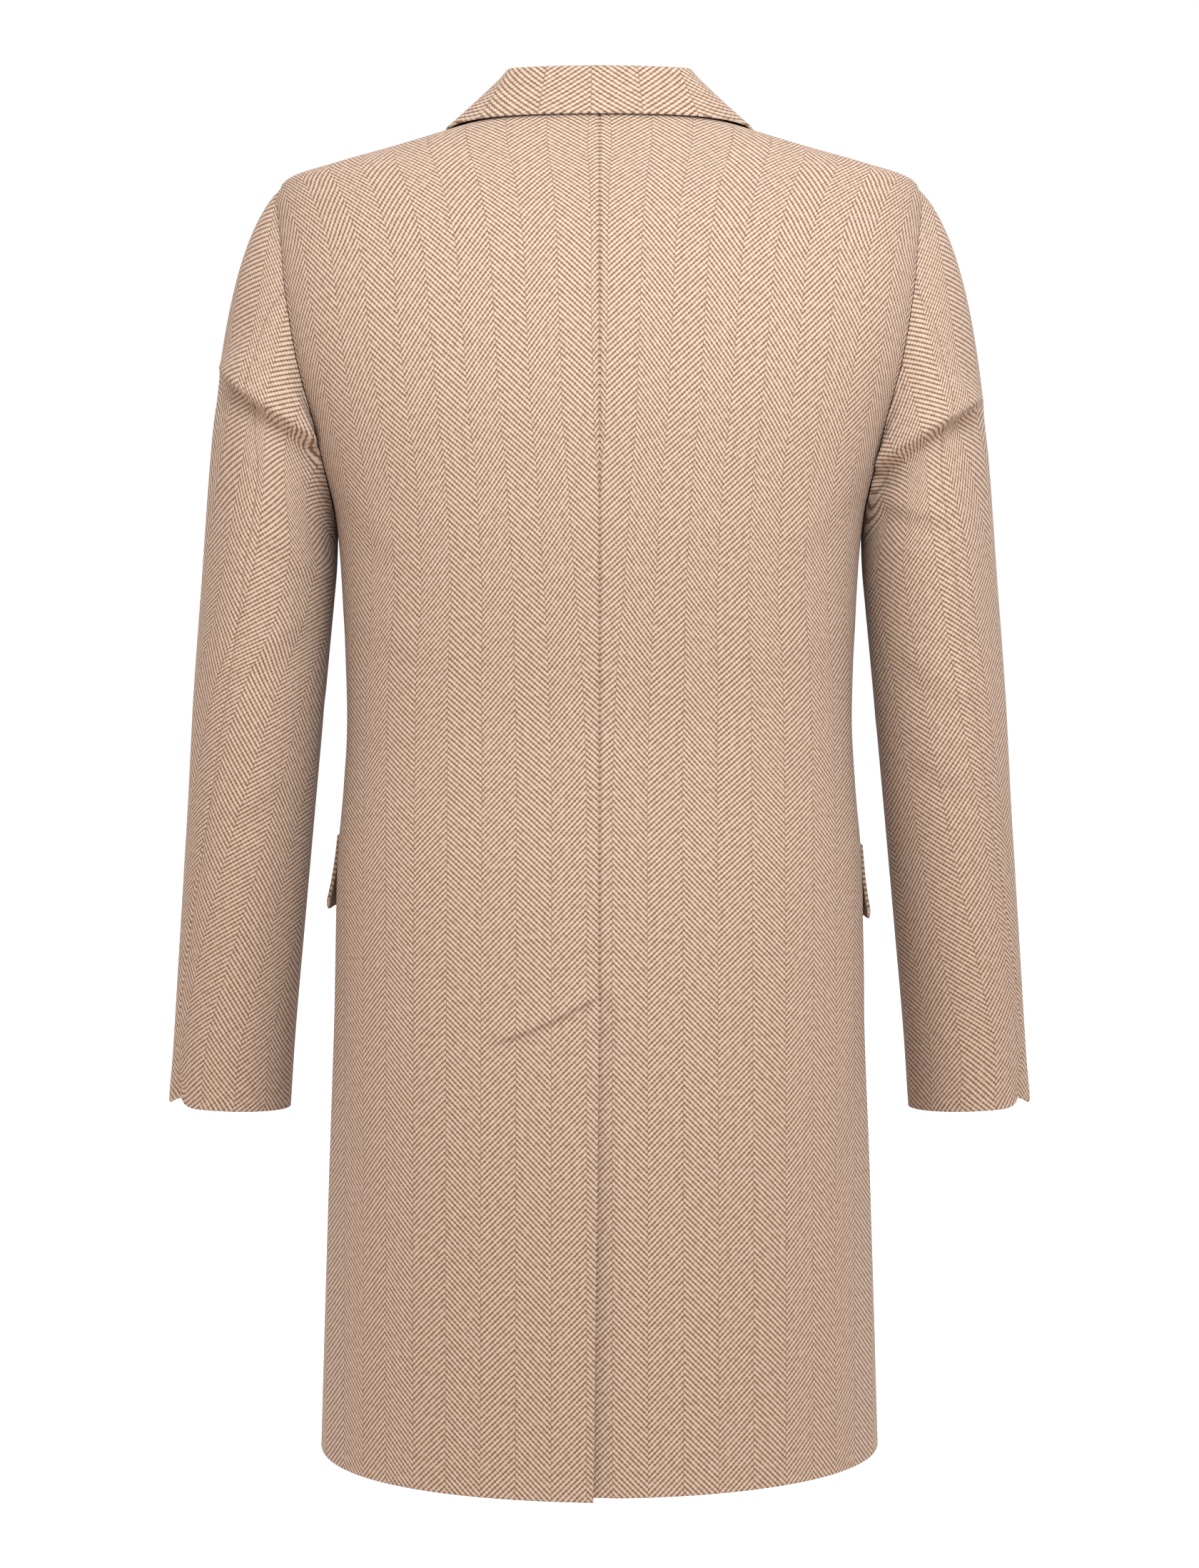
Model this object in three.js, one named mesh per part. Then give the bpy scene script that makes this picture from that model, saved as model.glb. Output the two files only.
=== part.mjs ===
// A double-breasted herringbone wool coat, filled out as if worn, with no wearer in it.
// Millimetres. +Z is up, the front faces -Y and the wearer's left is +X.
// The origin is the middle of the neck, level with the collar seam at the centre back.
import * as THREE from 'three';

// Cloth
const CLOTH = 2.0;
const SEAM_GAP = 0.3;
const CAP_GAP = { top: 1.5, side: 0.45 };
const LAYER_GAP = 0.7;

// Lengths down the body, from the collar seam at the centre back
const HEM = -953.5;
const HEM_SIDE = -950;
const HEM_DROP_LEFT = 2.5;
const UNDERARM = -285;
const SHOULDER_TIP = -41;
const NECK_POINT = 8;
const YOKE_BACK = -80;

// Armhole, in degrees round the body from the side
const ARMHOLE_BACK = 29;
const ARMHOLE_FRONT = 31;
const ARMHOLE_STEP = 18;

// Double-breasted front
const FRONT_EDGE = 85;
const BREAK = -290;
const ROLL_TOP = { x: 60, z: -30 };
const ROLL_MIDDLE = -112;
const NOTCH = { x: 110, z: -68 };
const PEAK = { x: 168, z: -48 };
const COLLAR_POINT = { x: 134, z: -33 };
const LAPEL_BELLY = { x: 122, z: -192 };
const FOLD_RADIUS = 3.3;
const LAP_START = 132;
const LAP_FULL = 96;
const LAP_TOP = { none: -60, full: -125 };
const LAPEL_ROOM = 4.8;
const GORGE_GAP = 0.8;
const GORGE_SHARE = 0.1;
const NOTCH_SHARE = { collar: 0.6, lapel: 0.5 };
const FOLD_SETBACK = { most: 1.2, share: 0.06 };
const FRONT_BEND = 2.2;

// Collar
const FALL_EDGE_BACK = -3;
const FALL_EDGE_SIDE = 0;
const FALL_LIFT = 4.6;
const FALL_BOW = 4;
const FALL_ARC = { leaf: 35, stand: 180 };
const STAND_ROOM = { top: 0.5, bottom: 0.6 };

// Centre vent
const VENT_TOP = -624;
const VENT_SLOPE_END = -652;
const UNDERLAP = 58;
const VENT_DRIFT = 4;
const VENT_DIP_RUN = 12;
const VENT_DIP = 3;
const VENT_STRIP = 18;
const VENT_SHARE = 4 / 12;

// Pocket flaps
const FLAP = { depth: 54, corner: 12, width: 158 };
const FLAP_LEFT = { rear: -1.6, front: -50, topRear: -512, topFront: -500, flare: 3.6 };
const FLAP_RIGHT = { rear: -1, front: -50, topRear: -519, topFront: -507, flare: 2.6 };

// Buttons
const BUTTON_RADIUS = 14;
const BUTTON_THICK = 4.2;
const BUTTON_STANDOFF = 0.2;
const BUTTON_SEAT = 0.62;
const BUTTON_COLUMN = 62;
const BUTTON_ROWS = [-306, -421, -536];

// The body, a row for each level section: half width, depths behind and before the side, squareness
const BODY = [
  { z: 22, half: 36, back: 46, front: 32, square: 2.2 },
  { z: 8, half: 77, back: 52, front: 40, square: 2.2 },
  { z: -3.4, half: 114, back: 59, front: 53, square: 2.25 },
  { z: -15.8, half: 155, back: 65, front: 63, square: 2.3 },
  { z: -28, half: 197, back: 71, front: 72, square: 2.4 },
  { z: -38.6, half: 227, back: 78, front: 81, square: 2.5 },
  { z: -43, half: 231, back: 81, front: 85, square: 2.5 },
  { z: -60, half: 235, back: 88, front: 95, square: 2.6 },
  { z: -100, half: 235, back: 104, front: 113, square: 2.8 },
  { z: -130, half: 233, back: 113, front: 122, square: 2.95 },
  { z: -171, half: 226, back: 122, front: 131, square: 3.0 },
  { z: -230, half: 206, back: 128, front: 136, square: 2.95 },
  { z: -285, half: 190, back: 128, front: 136, square: 2.8 },
  { z: -320, half: 186.5, back: 126, front: 134.5, square: 2.7 },
  { z: -366, half: 184.2, back: 121.5, front: 131, square: 2.65 },
  { z: -428, half: 182.2, back: 117, front: 128, square: 2.6 },
  { z: -475, half: 184.8, back: 121, front: 129, square: 2.5 },
  { z: -532, half: 189.5, back: 130, front: 132, square: 2.4 },
  { z: -594, half: 191, back: 138.5, front: 136, square: 2.3 },
  { z: -719, half: 194.6, back: 151, front: 145, square: 2.15 },
  { z: -843, half: 198.4, back: 160, front: 153, square: 2.05 },
  { z: -960, half: 201.7, back: 168, front: 160, square: 2.0 },
];

// The collar's stand, a row for each place from the centre back (0) past the neck point (1) to the
// roll line (2): how high its fold is above the seam, and how far it leans in towards the neck
const STAND = [
  { u: 0, height: 36.5, lean: 9 },
  { u: 0.5, height: 36.5, lean: 13 },
  { u: 1, height: 36, lean: 20 },
  { u: 1.5, height: 22, lean: 12 },
  { u: 2, height: 4.6, lean: 0 },
];

// The sleeve below the armpit, a row for each level ring
const SLEEVE = [
  { z: -325, outer: 288, inner: 191.6, middle: -2, depth: 73 },
  { z: -408, outer: 294.5, inner: 199.6, middle: -5, depth: 69 },
  { z: -491, outer: 299.8, inner: 207.8, middle: -12, depth: 65 },
  { z: -575, outer: 306.5, inner: 216.2, middle: -23, depth: 60.5 },
  { z: -660, outer: 313.5, inner: 224.8, middle: -37, depth: 57 },
  { z: -713, outer: 317.5, inner: 229, middle: -45, depth: 56 },
];
const SLEEVE_TOP = -325;
const CUFF = -708.5;

// How the cap of the sleeve leaves the armhole, a row for each direction round it
const CAP = [
  { turn: 0, outX: 146, outY: 0, down: 146, reach: 286 },
  { turn: 45, outX: 100, outY: 34, down: 116, reach: 235 },
  { turn: 90, outX: 66, outY: 34, down: 84, reach: 150 },
  { turn: 135, outX: 22, outY: 14, down: 58, reach: 80 },
  { turn: 180, outX: 1, outY: 0, down: 36, reach: 36 },
  { turn: 225, outX: 22, outY: -14, down: 58, reach: 80 },
  { turn: 270, outX: 66, outY: -34, down: 84, reach: 150 },
  { turn: 315, outX: 100, outY: -34, down: 116, reach: 235 },
  { turn: 360, outX: 146, outY: 0, down: 146, reach: 286 },
];

// Sleeve seams, in degrees round the sleeve from its outer side towards the back
const HINDARM = [
  { s: 0, turn: 72 },
  { s: 1, turn: 76 },
  { s: 1.35, turn: 62 },
  { s: 2, turn: 17 },
];
const FOREARM = [
  { s: 0, turn: 252 },
  { s: 1, turn: 238 },
  { s: 2, turn: 212 },
];
const CUFF_NOTCH = { rise: 9, spread: 9 };

// Drag folds of the sleeve caps, seen from behind or, with face -1, from the front
const SLEEVE_FOLDS = [
  { side: 1, face: 1, x0: 276, z0: -172, x1: 200, z1: -233, ridge: 4.5, trough: 5, width: 16 },
  { side: -1, face: 1, x0: 279, z0: -194, x1: 196, z1: -251, ridge: 4.5, trough: 5, width: 15 },
  { side: 1, face: -1, x0: 270, z0: -190, x1: 196, z1: -248, ridge: 4, trough: 4, width: 13 },
  { side: -1, face: -1, x0: 274, z0: -176, x1: 196, z1: -236, ridge: 4.5, trough: 4.5, width: 14 },
];

const RADIANS = Math.PI / 180;
const UP = new THREE.Vector3(0, 0, 1);

const clamp = (value, low, high) => Math.min(high, Math.max(low, value));
const mix = (a, b, t) => a + (b - a) * t;
const between = (value, from, to) => clamp((value - from) / (to - from), 0, 1);
const ease = (t) => t * t * (3 - 2 * t);
const steps = (count) => Array.from({ length: count + 1 }, (_, i) => i / count);

// A monotone cubic through one column of a table, so that nothing bulges between two rows
function curveThrough(rows, along, column) {
  const sorted = [...rows].sort((a, b) => a[along] - b[along]);
  const at = sorted.map((row) => row[along]);
  const value = sorted.map((row) => row[column]);
  const secant = at.slice(1).map((_, i) => (value[i + 1] - value[i]) / (at[i + 1] - at[i]));
  const slope = value.map((_, i) => {
    if (i === 0) return secant[0];
    if (i === value.length - 1) return secant[i - 1];
    const before = secant[i - 1];
    const after = secant[i];
    return before * after <= 0 ? 0 : (2 * before * after) / (before + after);
  });
  return (q) => {
    const last = at.length - 1;
    if (q <= at[0]) return value[0] + slope[0] * (q - at[0]);
    if (q >= at[last]) return value[last] + slope[last] * (q - at[last]);
    let i = 0;
    while (q > at[i + 1]) i += 1;
    const span = at[i + 1] - at[i];
    const t = (q - at[i]) / span;
    const near = (1 + 2 * t) * (1 - t) ** 2 * value[i] + t * (1 - t) ** 2 * span * slope[i];
    const far = t * t * (3 - 2 * t) * value[i + 1] + t * t * (t - 1) * span * slope[i + 1];
    return near + far;
  };
}

// Surface direction at a place, from the places close round it
function normalOf(surface, u, v, du, dv) {
  const across = surface(u + du, v).sub(surface(u - du, v));
  const along = surface(u, v + dv).sub(surface(u, v - dv));
  return across.cross(along).normalize();
}

// A wall of cloth from a grid of { point, normal }: the points are its outer face
function clothWall(grid, thickness = CLOTH) {
  const rows = grid.length;
  const columns = grid[0].length;
  const positions = [];
  for (const inward of [0, thickness]) {
    for (const row of grid) {
      for (const { point, normal } of row) {
        const place = point.clone().addScaledVector(normal, -inward);
        positions.push(place.x, place.y, place.z);
      }
    }
  }
  const middle = grid[rows >> 1][columns >> 1];
  const across = grid[rows >> 1][(columns >> 1) + 1].point.clone().sub(middle.point);
  const along = grid[(rows >> 1) + 1][columns >> 1].point.clone().sub(middle.point);
  const turned = across.cross(along).dot(middle.normal) < 0;
  const triangles = [];
  const quad = (a, b, c, d) => {
    if (turned) triangles.push(a, c, b, a, d, c);
    else triangles.push(a, b, c, a, c, d);
  };
  const outer = (r, c) => r * columns + c;
  const inner = (r, c) => rows * columns + r * columns + c;
  for (let r = 0; r < rows - 1; r += 1) {
    for (let c = 0; c < columns - 1; c += 1) {
      quad(outer(r, c), outer(r, c + 1), outer(r + 1, c + 1), outer(r + 1, c));
      quad(inner(r, c), inner(r + 1, c), inner(r + 1, c + 1), inner(r, c + 1));
    }
    quad(outer(r, 0), outer(r + 1, 0), inner(r + 1, 0), inner(r, 0));
    quad(outer(r, columns - 1), inner(r, columns - 1), inner(r + 1, columns - 1), outer(r + 1, columns - 1));
  }
  for (let c = 0; c < columns - 1; c += 1) {
    quad(outer(0, c), inner(0, c), inner(0, c + 1), outer(0, c + 1));
    quad(outer(rows - 1, c), outer(rows - 1, c + 1), inner(rows - 1, c + 1), inner(rows - 1, c));
  }
  const geometry = new THREE.BufferGeometry();
  geometry.setAttribute('position', new THREE.Float32BufferAttribute(positions, 3));
  geometry.setIndex(triangles);
  geometry.computeVertexNormals();
  return geometry;
}

// Draws the edges named in sides back from the seam by half the gap
function trimmed(grid, sides) {
  const shift = SEAM_GAP / 2;
  const pull = (cell, neighbour) => {
    const way = neighbour.point.clone().sub(cell.point).normalize();
    return { ...cell, point: cell.point.clone().addScaledVector(way, shift) };
  };
  const last = grid.length - 1;
  let result = grid;
  if (sides.includes('first')) {
    result = result.map((row, r) => (r === 0 ? row.map((cell, c) => pull(cell, grid[1][c])) : row));
  }
  if (sides.includes('last')) {
    const lower = grid[last - 1];
    result = result.map((row, r) => (r === last ? row.map((cell, c) => pull(cell, lower[c])) : row));
  }
  if (sides.includes('start')) result = result.map((row) => [pull(row[0], row[1]), ...row.slice(1)]);
  if (sides.includes('end')) {
    result = result.map((row) => [...row.slice(0, -1), pull(row[row.length - 1], row[row.length - 2])]);
  }
  return result;
}

function mirrored(grid) {
  const flip = new THREE.Vector3(-1, 1, 1);
  return grid.map((row) => row.map(({ point, normal }) => ({
    point: point.clone().multiply(flip), normal: normal.clone().multiply(flip),
  })));
}

// The body
const bodyHalf = curveThrough(BODY, 'z', 'half');
const bodyBack = curveThrough(BODY, 'z', 'back');
const bodyFront = curveThrough(BODY, 'z', 'front');
const bodySquare = curveThrough(BODY, 'z', 'square');

// angle is 0 at the wearer's left side, 90 at the centre back and -90 at the centre front
function bodyPoint(angle, z) {
  const c = Math.cos(angle * RADIANS);
  const s = Math.sin(angle * RADIANS);
  const n = bodySquare(z);
  const r = (Math.abs(c) ** n + Math.abs(s) ** n) ** (-1 / n);
  const depth = s > 0 ? bodyBack(z) : bodyFront(z);
  return new THREE.Vector3(bodyHalf(z) * c * r, depth * s * r, z);
}

const bodyNormal = (angle, z) => normalOf(bodyPoint, angle, z, 0.2, 0.4);

function onBody(angle, z, lift) {
  const normal = bodyNormal(angle, z);
  return { point: bodyPoint(angle, z).addScaledVector(normal, lift), normal };
}

// The angle of a place on the front or back that is x from the centre line
function angleAt(x, z, face) {
  const n = bodySquare(z);
  const across = clamp(x / bodyHalf(z), -1, 1);
  const deep = (1 - Math.abs(across) ** n) ** (1 / n);
  return Math.atan2(face * deep, across) / RADIANS;
}

// Armhole: turn is 0 at the shoulder tip, 90 behind, 180 under the arm and 270 in front
function armholeAt(turn) {
  const s = Math.sin(turn * RADIANS);
  const angle = (s > 0 ? ARMHOLE_BACK : ARMHOLE_FRONT) * s;
  const middle = (SHOULDER_TIP + UNDERARM) / 2;
  return { angle, z: middle + ((SHOULDER_TIP - UNDERARM) / 2) * Math.cos(turn * RADIANS) };
}

// The outer boundary of a back or front half, from the hem (0) up the side seam to the armpit (1),
// round the armhole to the shoulder tip (2) and along the shoulder seam to the neck (3)
function outerBoundary(v, face) {
  if (v <= 1) return { angle: 0, z: mix(HEM_SIDE, UNDERARM, v) };
  if (v <= 2) return armholeAt(face > 0 ? 180 * (2 - v) : 180 * v);
  return { angle: 0, z: mix(SHOULDER_TIP, NECK_POINT, v - 2) };
}

// Back half: u runs from the centre back (0) to the outer boundary (1)
function backLevel(v, drop) {
  if (v <= 1) return mix(HEM - drop, UNDERARM, v);
  return v <= 2 ? mix(UNDERARM, YOKE_BACK, v - 1) : mix(YOKE_BACK, 0, v - 2);
}

function backPlace(u, v, drop = 0, underlap = 0) {
  const edge = outerBoundary(v, 1);
  const level = backLevel(v, drop);
  const even = mix(90, edge.angle, u);
  const past = underlap * between(level, VENT_TOP, VENT_SLOPE_END);
  const stripAt = (share) => {
    const x = share < 0.5 ? mix(-past, VENT_DIP, share / 0.5) : mix(VENT_DIP, VENT_STRIP, share / 0.5 - 1);
    return angleAt(x, level, 1);
  };
  const crowded = u < VENT_SHARE
    ? stripAt(u / VENT_SHARE)
    : mix(stripAt(1), edge.angle, (u - VENT_SHARE) / (1 - VENT_SHARE));
  const angle = mix(crowded, even, ease(between(v, 1, 2)));
  const hemCurve = mix(level, edge.z, u ** 4);
  const flatAtEdge = mix(hemCurve, mix(edge.z, level, (1 - u) ** 2), ease(between(v, 0.2, 1)));
  const flatAtMiddle = mix(level, edge.z, u * u);
  return { angle, z: mix(flatAtEdge, flatAtMiddle, between(v, 2, 3)) };
}

const BACK_COLUMNS = steps(12);

// Rows from hem to neck. Those of the armhole match the lengthwise lines of the sleeve.
function boundaryRows(skirt, extra = []) {
  const low = steps(skirt).slice(0, -1);
  const high = steps(180 / ARMHOLE_STEP).slice(0, -1).map((t) => 1 + t);
  const top = steps(4).map((t) => 2 + t);
  return [...low, ...extra, ...high, ...top].sort((a, b) => a - b);
}

const ventRow = (z, drop) => between(z, HEM - drop, UNDERARM);

function backGrid(isUnder) {
  const drop = isUnder ? 0 : HEM_DROP_LEFT;
  const ventRows = [VENT_TOP + VENT_DIP_RUN, VENT_TOP, VENT_SLOPE_END].map((z) => ventRow(z, drop));
  return boundaryRows(10, ventRows).map((v) => {
    const low = v <= ventRow(VENT_TOP, drop) + 1e-6;
    return BACK_COLUMNS.map((u) => {
      const { angle, z } = backPlace(u, v, drop, isUnder ? UNDERLAP : 0);
      const x = bodyPoint(angle, z).x;
      const sink = low && isUnder ? between(x, VENT_STRIP, VENT_DIP) : 0;
      const open = isUnder ? 0 : VENT_DRIFT * between(z, VENT_TOP, HEM) * between(x, VENT_STRIP * 3, 0);
      const cell = onBody(angle, z, -(CLOTH + LAYER_GAP) * sink);
      cell.point.x += open;
      return withSeamNormal(cell, angle, v, u);
    });
  });
}

// Where the sleeve turns down from the shoulder both walls end along one shared direction
function withSeamNormal(cell, angle, v, u) {
  if (u < 1 || v <= 1 || v > 2.001) return cell;
  const turn = angle >= 0 ? 180 * (2 - v) : 180 * v;
  return { ...cell, normal: armholeNormal(v >= 2 ? 0 : turn) };
}

// Front half: u runs from the outer boundary (0) to the front edge, roll line and neckline (1)
function rollLine(t) {
  return { x: mix(ROLL_TOP.x, -FRONT_EDGE, t), z: mix(ROLL_TOP.z, BREAK, t) };
}

function frontInner(v) {
  if (v <= 1) return { x: -FRONT_EDGE, z: mix(HEM, BREAK, v) };
  const middle = (ROLL_TOP.z - ROLL_MIDDLE) / (ROLL_TOP.z - BREAK);
  return rollLine(v <= 2 ? mix(1, middle, v - 1) : mix(middle, 0, v - 2));
}

function frontPlace(u, v) {
  const edge = outerBoundary(v, -1);
  const inner = frontInner(v);
  const angle = angleAt(inner.x, inner.z, -1);
  const bend = 1 + FRONT_BEND * ease(between(v, 1, 3));
  return { angle: mix(edge.angle, angle, u), z: mix(edge.z, inner.z, u ** bend) };
}

// How far the left front stands off the right one beneath it, and off its lapel near the break
function lapLift(x, z) {
  const across = ease(between(x, LAP_START, LAP_FULL)) * ease(between(z, LAP_TOP.none, LAP_TOP.full));
  const overLapel = ease(between(z, -62, -118)) * ease(between(z, -350, -298));
  return across * (CLOTH + LAYER_GAP + LAPEL_ROOM * overLapel);
}

function onFront(angle, z, isOver, lift) {
  const base = bodyPoint(angle, z);
  return onBody(angle, z, lift + (isOver ? lapLift(base.x, z) : 0));
}

const FRONT_COLUMNS = steps(13);

function frontGrid(isOver) {
  return boundaryRows(10).map((v) => FRONT_COLUMNS.map((u) => {
    const { angle, z } = frontPlace(u, v);
    return withSeamNormal(onFront(angle, z, isOver, 0), angle, v, 1 - u);
  }));
}

// Sleeve: turn as round the armhole; s is 0 at the armhole, 1 at the armpit ring and 2 at the cuff
const ringOuter = curveThrough(SLEEVE, 'z', 'outer');
const ringInner = curveThrough(SLEEVE, 'z', 'inner');
const ringMiddle = curveThrough(SLEEVE, 'z', 'middle');
const ringDepth = curveThrough(SLEEVE, 'z', 'depth');
const capOutX = curveThrough(CAP, 'turn', 'outX');
const capOutY = curveThrough(CAP, 'turn', 'outY');
const capDown = curveThrough(CAP, 'turn', 'down');
const capReach = curveThrough(CAP, 'turn', 'reach');
const hindarm = curveThrough(HINDARM, 's', 'turn');
const forearm = curveThrough(FOREARM, 's', 'turn');

function ringPoint(turn, z) {
  const centre = (ringOuter(z) + ringInner(z)) / 2;
  const half = (ringOuter(z) - ringInner(z)) / 2;
  const c = Math.cos(turn * RADIANS);
  const s = Math.sin(turn * RADIANS);
  return new THREE.Vector3(centre + half * c, ringMiddle(z) + ringDepth(z) * s, z);
}

const wrap = (turn) => ((turn % 360) + 360) % 360;

function capStart(turn) {
  const { angle, z } = armholeAt(turn);
  const leave = new THREE.Vector3(capOutX(wrap(turn)), capOutY(wrap(turn)), -capDown(wrap(turn)));
  const atTop = ease(between(Math.cos(turn * RADIANS), 0.2, 0.8));
  const away = bodyNormal(angle, z).multiplyScalar(1 - atTop).add(leave.clone().normalize()).normalize();
  return { point: bodyPoint(angle, z).addScaledVector(away, mix(CAP_GAP.side, CAP_GAP.top, atTop)), leave };
}

function plainSleevePoint(turn, s) {
  if (s > 1) return ringPoint(turn, mix(SLEEVE_TOP, cuffAt(turn), s - 1));
  const start = capStart(turn);
  const end = ringPoint(turn, SLEEVE_TOP);
  const arrive = ringPoint(turn, SLEEVE_TOP - 1).sub(end).multiplyScalar(capReach(wrap(turn)));
  const point = start.point.multiplyScalar((1 + 2 * s) * (1 - s) ** 2);
  point.addScaledVector(start.leave, s * (1 - s) ** 2);
  point.addScaledVector(end, s * s * (3 - 2 * s));
  return point.addScaledVector(arrive, s * s * (s - 1));
}

// The cuff edge rises a little on both sides of the sleeve vent
function cuffAt(turn) {
  const away = wrap(turn - hindarm(2) + 180) - 180;
  return CUFF + CUFF_NOTCH.rise * Math.exp(-((away / CUFF_NOTCH.spread) ** 2));
}

function foldLift(point, side) {
  let lift = 0;
  for (const fold of SLEEVE_FOLDS.filter((row) => row.side === side)) {
    const facing = ease(between(point.y * fold.face, 6, 34));
    const run = Math.hypot(fold.x1 - fold.x0, fold.z1 - fold.z0);
    const alongX = (fold.x1 - fold.x0) / run;
    const alongZ = (fold.z1 - fold.z0) / run;
    const along = ((point.x - fold.x0) * alongX + (point.z - fold.z0) * alongZ) / run;
    const above = (point.z - fold.z0) * -alongX + (point.x - fold.x0) * alongZ;
    const fade = ease(between(along, -0.15, 0.2)) * ease(between(along, 1.1, 0.85));
    const crest = Math.exp(-(((above - 0.9 * fold.width) / fold.width) ** 2));
    const hollow = Math.exp(-(((above + 0.8 * fold.width) / fold.width) ** 2));
    lift += facing * fade * (fold.ridge * crest - fold.trough * hollow);
  }
  return lift;
}

function sleeveGrid(side, rows, columnTurns) {
  const folded = (turn, s) => {
    const point = plainSleevePoint(turn, s);
    const still = ease(between(s, 0, 0.16));
    const normal = normalOf(plainSleevePoint, turn, Math.max(s, 0.004), 0.5, 0.003).negate();
    return point.addScaledVector(normal, still * foldLift(point, side));
  };
  return rows.map((s) => columnTurns(s).map((turn) => {
    const inside = clamp(s, 0.004, 1.997);
    const normal = normalOf(folded, turn, inside, 0.5, 0.003).negate();
    const isRidge = s === 0 && capIsConvex(turn);
    return { point: folded(turn, s), normal: isRidge ? armholeNormal(turn) : normal };
  }));
}

// Near the shoulder tip the seam is a ridge, and its two walls share the direction between them
const capIsConvex = (turn) => Math.cos(turn * RADIANS) > 0.97;

function armholeNormal(turn) {
  const { angle, z } = armholeAt(turn);
  const body = bodyNormal(angle, z);
  if (!capIsConvex(turn)) return body;
  const sleeve = normalOf(plainSleevePoint, turn, 0.004, 0.5, 0.003).negate();
  return body.add(sleeve).normalize();
}

const SLEEVE_ROWS = [0, 0.06, 0.14, 0.22, 0.3, 0.37, 0.43, 0.49, 0.55, 0.61, 0.67, 0.73, 0.8, 0.89, 1,
  1.15, 1.35, 1.55, 1.75, 1.93, 2];

const topTurns = (s) => steps(180 / ARMHOLE_STEP).map((t) => mix(forearm(s) - 360, hindarm(s), t));
const underTurns = (s) => steps(180 / ARMHOLE_STEP).map((t) => mix(hindarm(s), forearm(s), t));

// Neckline: from the centre back (0) to the neck point (1), on to the top of the roll line (2)
function neckline(u) {
  if (u <= 1) return backPlace(u, 3);
  return frontPlace(u - 1, 3);
}

// The collar's outer edge on the body, for the same u
function fallEdge(u) {
  if (u <= 1) return { angle: 90 * (1 - u), z: mix(FALL_EDGE_BACK, FALL_EDGE_SIDE, u ** 3) };
  const t = u - 1;
  const tip = angleAt(COLLAR_POINT.x, COLLAR_POINT.z, -1);
  return { angle: tip * t, z: mix(FALL_EDGE_SIDE, COLLAR_POINT.z, t ** 1.7) };
}

const standHeight = curveThrough(STAND, 'u', 'height');
const standLean = curveThrough(STAND, 'u', 'lean');

// Seam point, outward and upward directions and fold of the collar at u, for the left half
function collarFrame(u) {
  const place = neckline(u);
  const seam = onBody(place.angle, place.z, 0);
  const ahead = neckline(Math.min(u + 0.01, 2));
  const behind = neckline(Math.max(u - 0.01, 0));
  const along = bodyPoint(ahead.angle, ahead.z).sub(bodyPoint(behind.angle, behind.z)).normalize();
  const flat = ease(between(u, 1.35, 2));
  const lift = UP.clone().lerp(seam.normal, flat).normalize();
  const out = along.clone().cross(lift).negate().normalize();
  const up = out.clone().cross(along).normalize();
  if (up.dot(lift) < 0) up.negate();
  const crown = seam.point.clone().addScaledVector(up, standHeight(u)).addScaledVector(out, -standLean(u));
  return { seam, along, out, up, centre: crown.clone().addScaledVector(up, -FOLD_RADIUS) };
}

function arcPoint({ centre, out, up }, degrees) {
  return centre.clone()
    .addScaledVector(out, FOLD_RADIUS * Math.cos(degrees * RADIANS))
    .addScaledVector(up, FOLD_RADIUS * Math.sin(degrees * RADIANS));
}

// One place of the collar's fall; v counts through the arc of the fold and then down the leaf
function fallPoint(u, v) {
  const frame = collarFrame(u);
  if (v < 0) return arcPoint(frame, mix(FALL_ARC.leaf, FALL_ARC.stand, -v));
  const from = arcPoint(frame, FALL_ARC.leaf);
  const edge = fallEdge(u);
  const end = onBody(edge.angle, edge.z, FALL_LIFT).point;
  const bow = frame.out.clone().multiplyScalar(FALL_BOW * v * (1 - v));
  const straight = from.clone().lerp(end, v).add(bow);
  if (u <= 1) return straight;
  const hug = ease(between(u, 1.2, 1.75));
  const top = neckline(u);
  const topX = bodyPoint(top.angle, top.z).x;
  const endX = bodyPoint(edge.angle, edge.z).x;
  const gorge = ease(between(u, 1.62, 2));
  const plainZ = mix(top.z, edge.z, v);
  const plainX = mix(topX, endX, v);
  const toNotch = between(v, 0, NOTCH_SHARE.collar);
  const toPoint = between(v, NOTCH_SHARE.collar, 1);
  const dipX = mix(mix(ROLL_TOP.x, NOTCH.x, toNotch), COLLAR_POINT.x, toPoint);
  const dipZ = mix(mix(ROLL_TOP.z, NOTCH.z, toNotch), COLLAR_POINT.z, toPoint);
  const x = plainX + gorge * (dipX - mix(ROLL_TOP.x, COLLAR_POINT.x, v));
  const z = plainZ + gorge * (dipZ - mix(ROLL_TOP.z, COLLAR_POINT.z, v));
  const laid = onBody(angleAt(x, z, -1), z, FALL_LIFT).point;
  return straight.lerp(laid, hug);
}

// The collar has a line at each line of the panels it is sewn to
const COLLAR_STEPS = [...BACK_COLUMNS, ...FRONT_COLUMNS.slice(1).map((u) => 1 + u)];
const FALL_ROWS = [-1, -0.66, -0.33, 0, 0.2, 0.4, 0.6, 0.8, 1];

// Joins the right half, mirrored, to the left half at the centre back
function bothHalves(left) {
  return [...mirrored(left).slice(1).reverse(), ...left];
}

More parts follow.
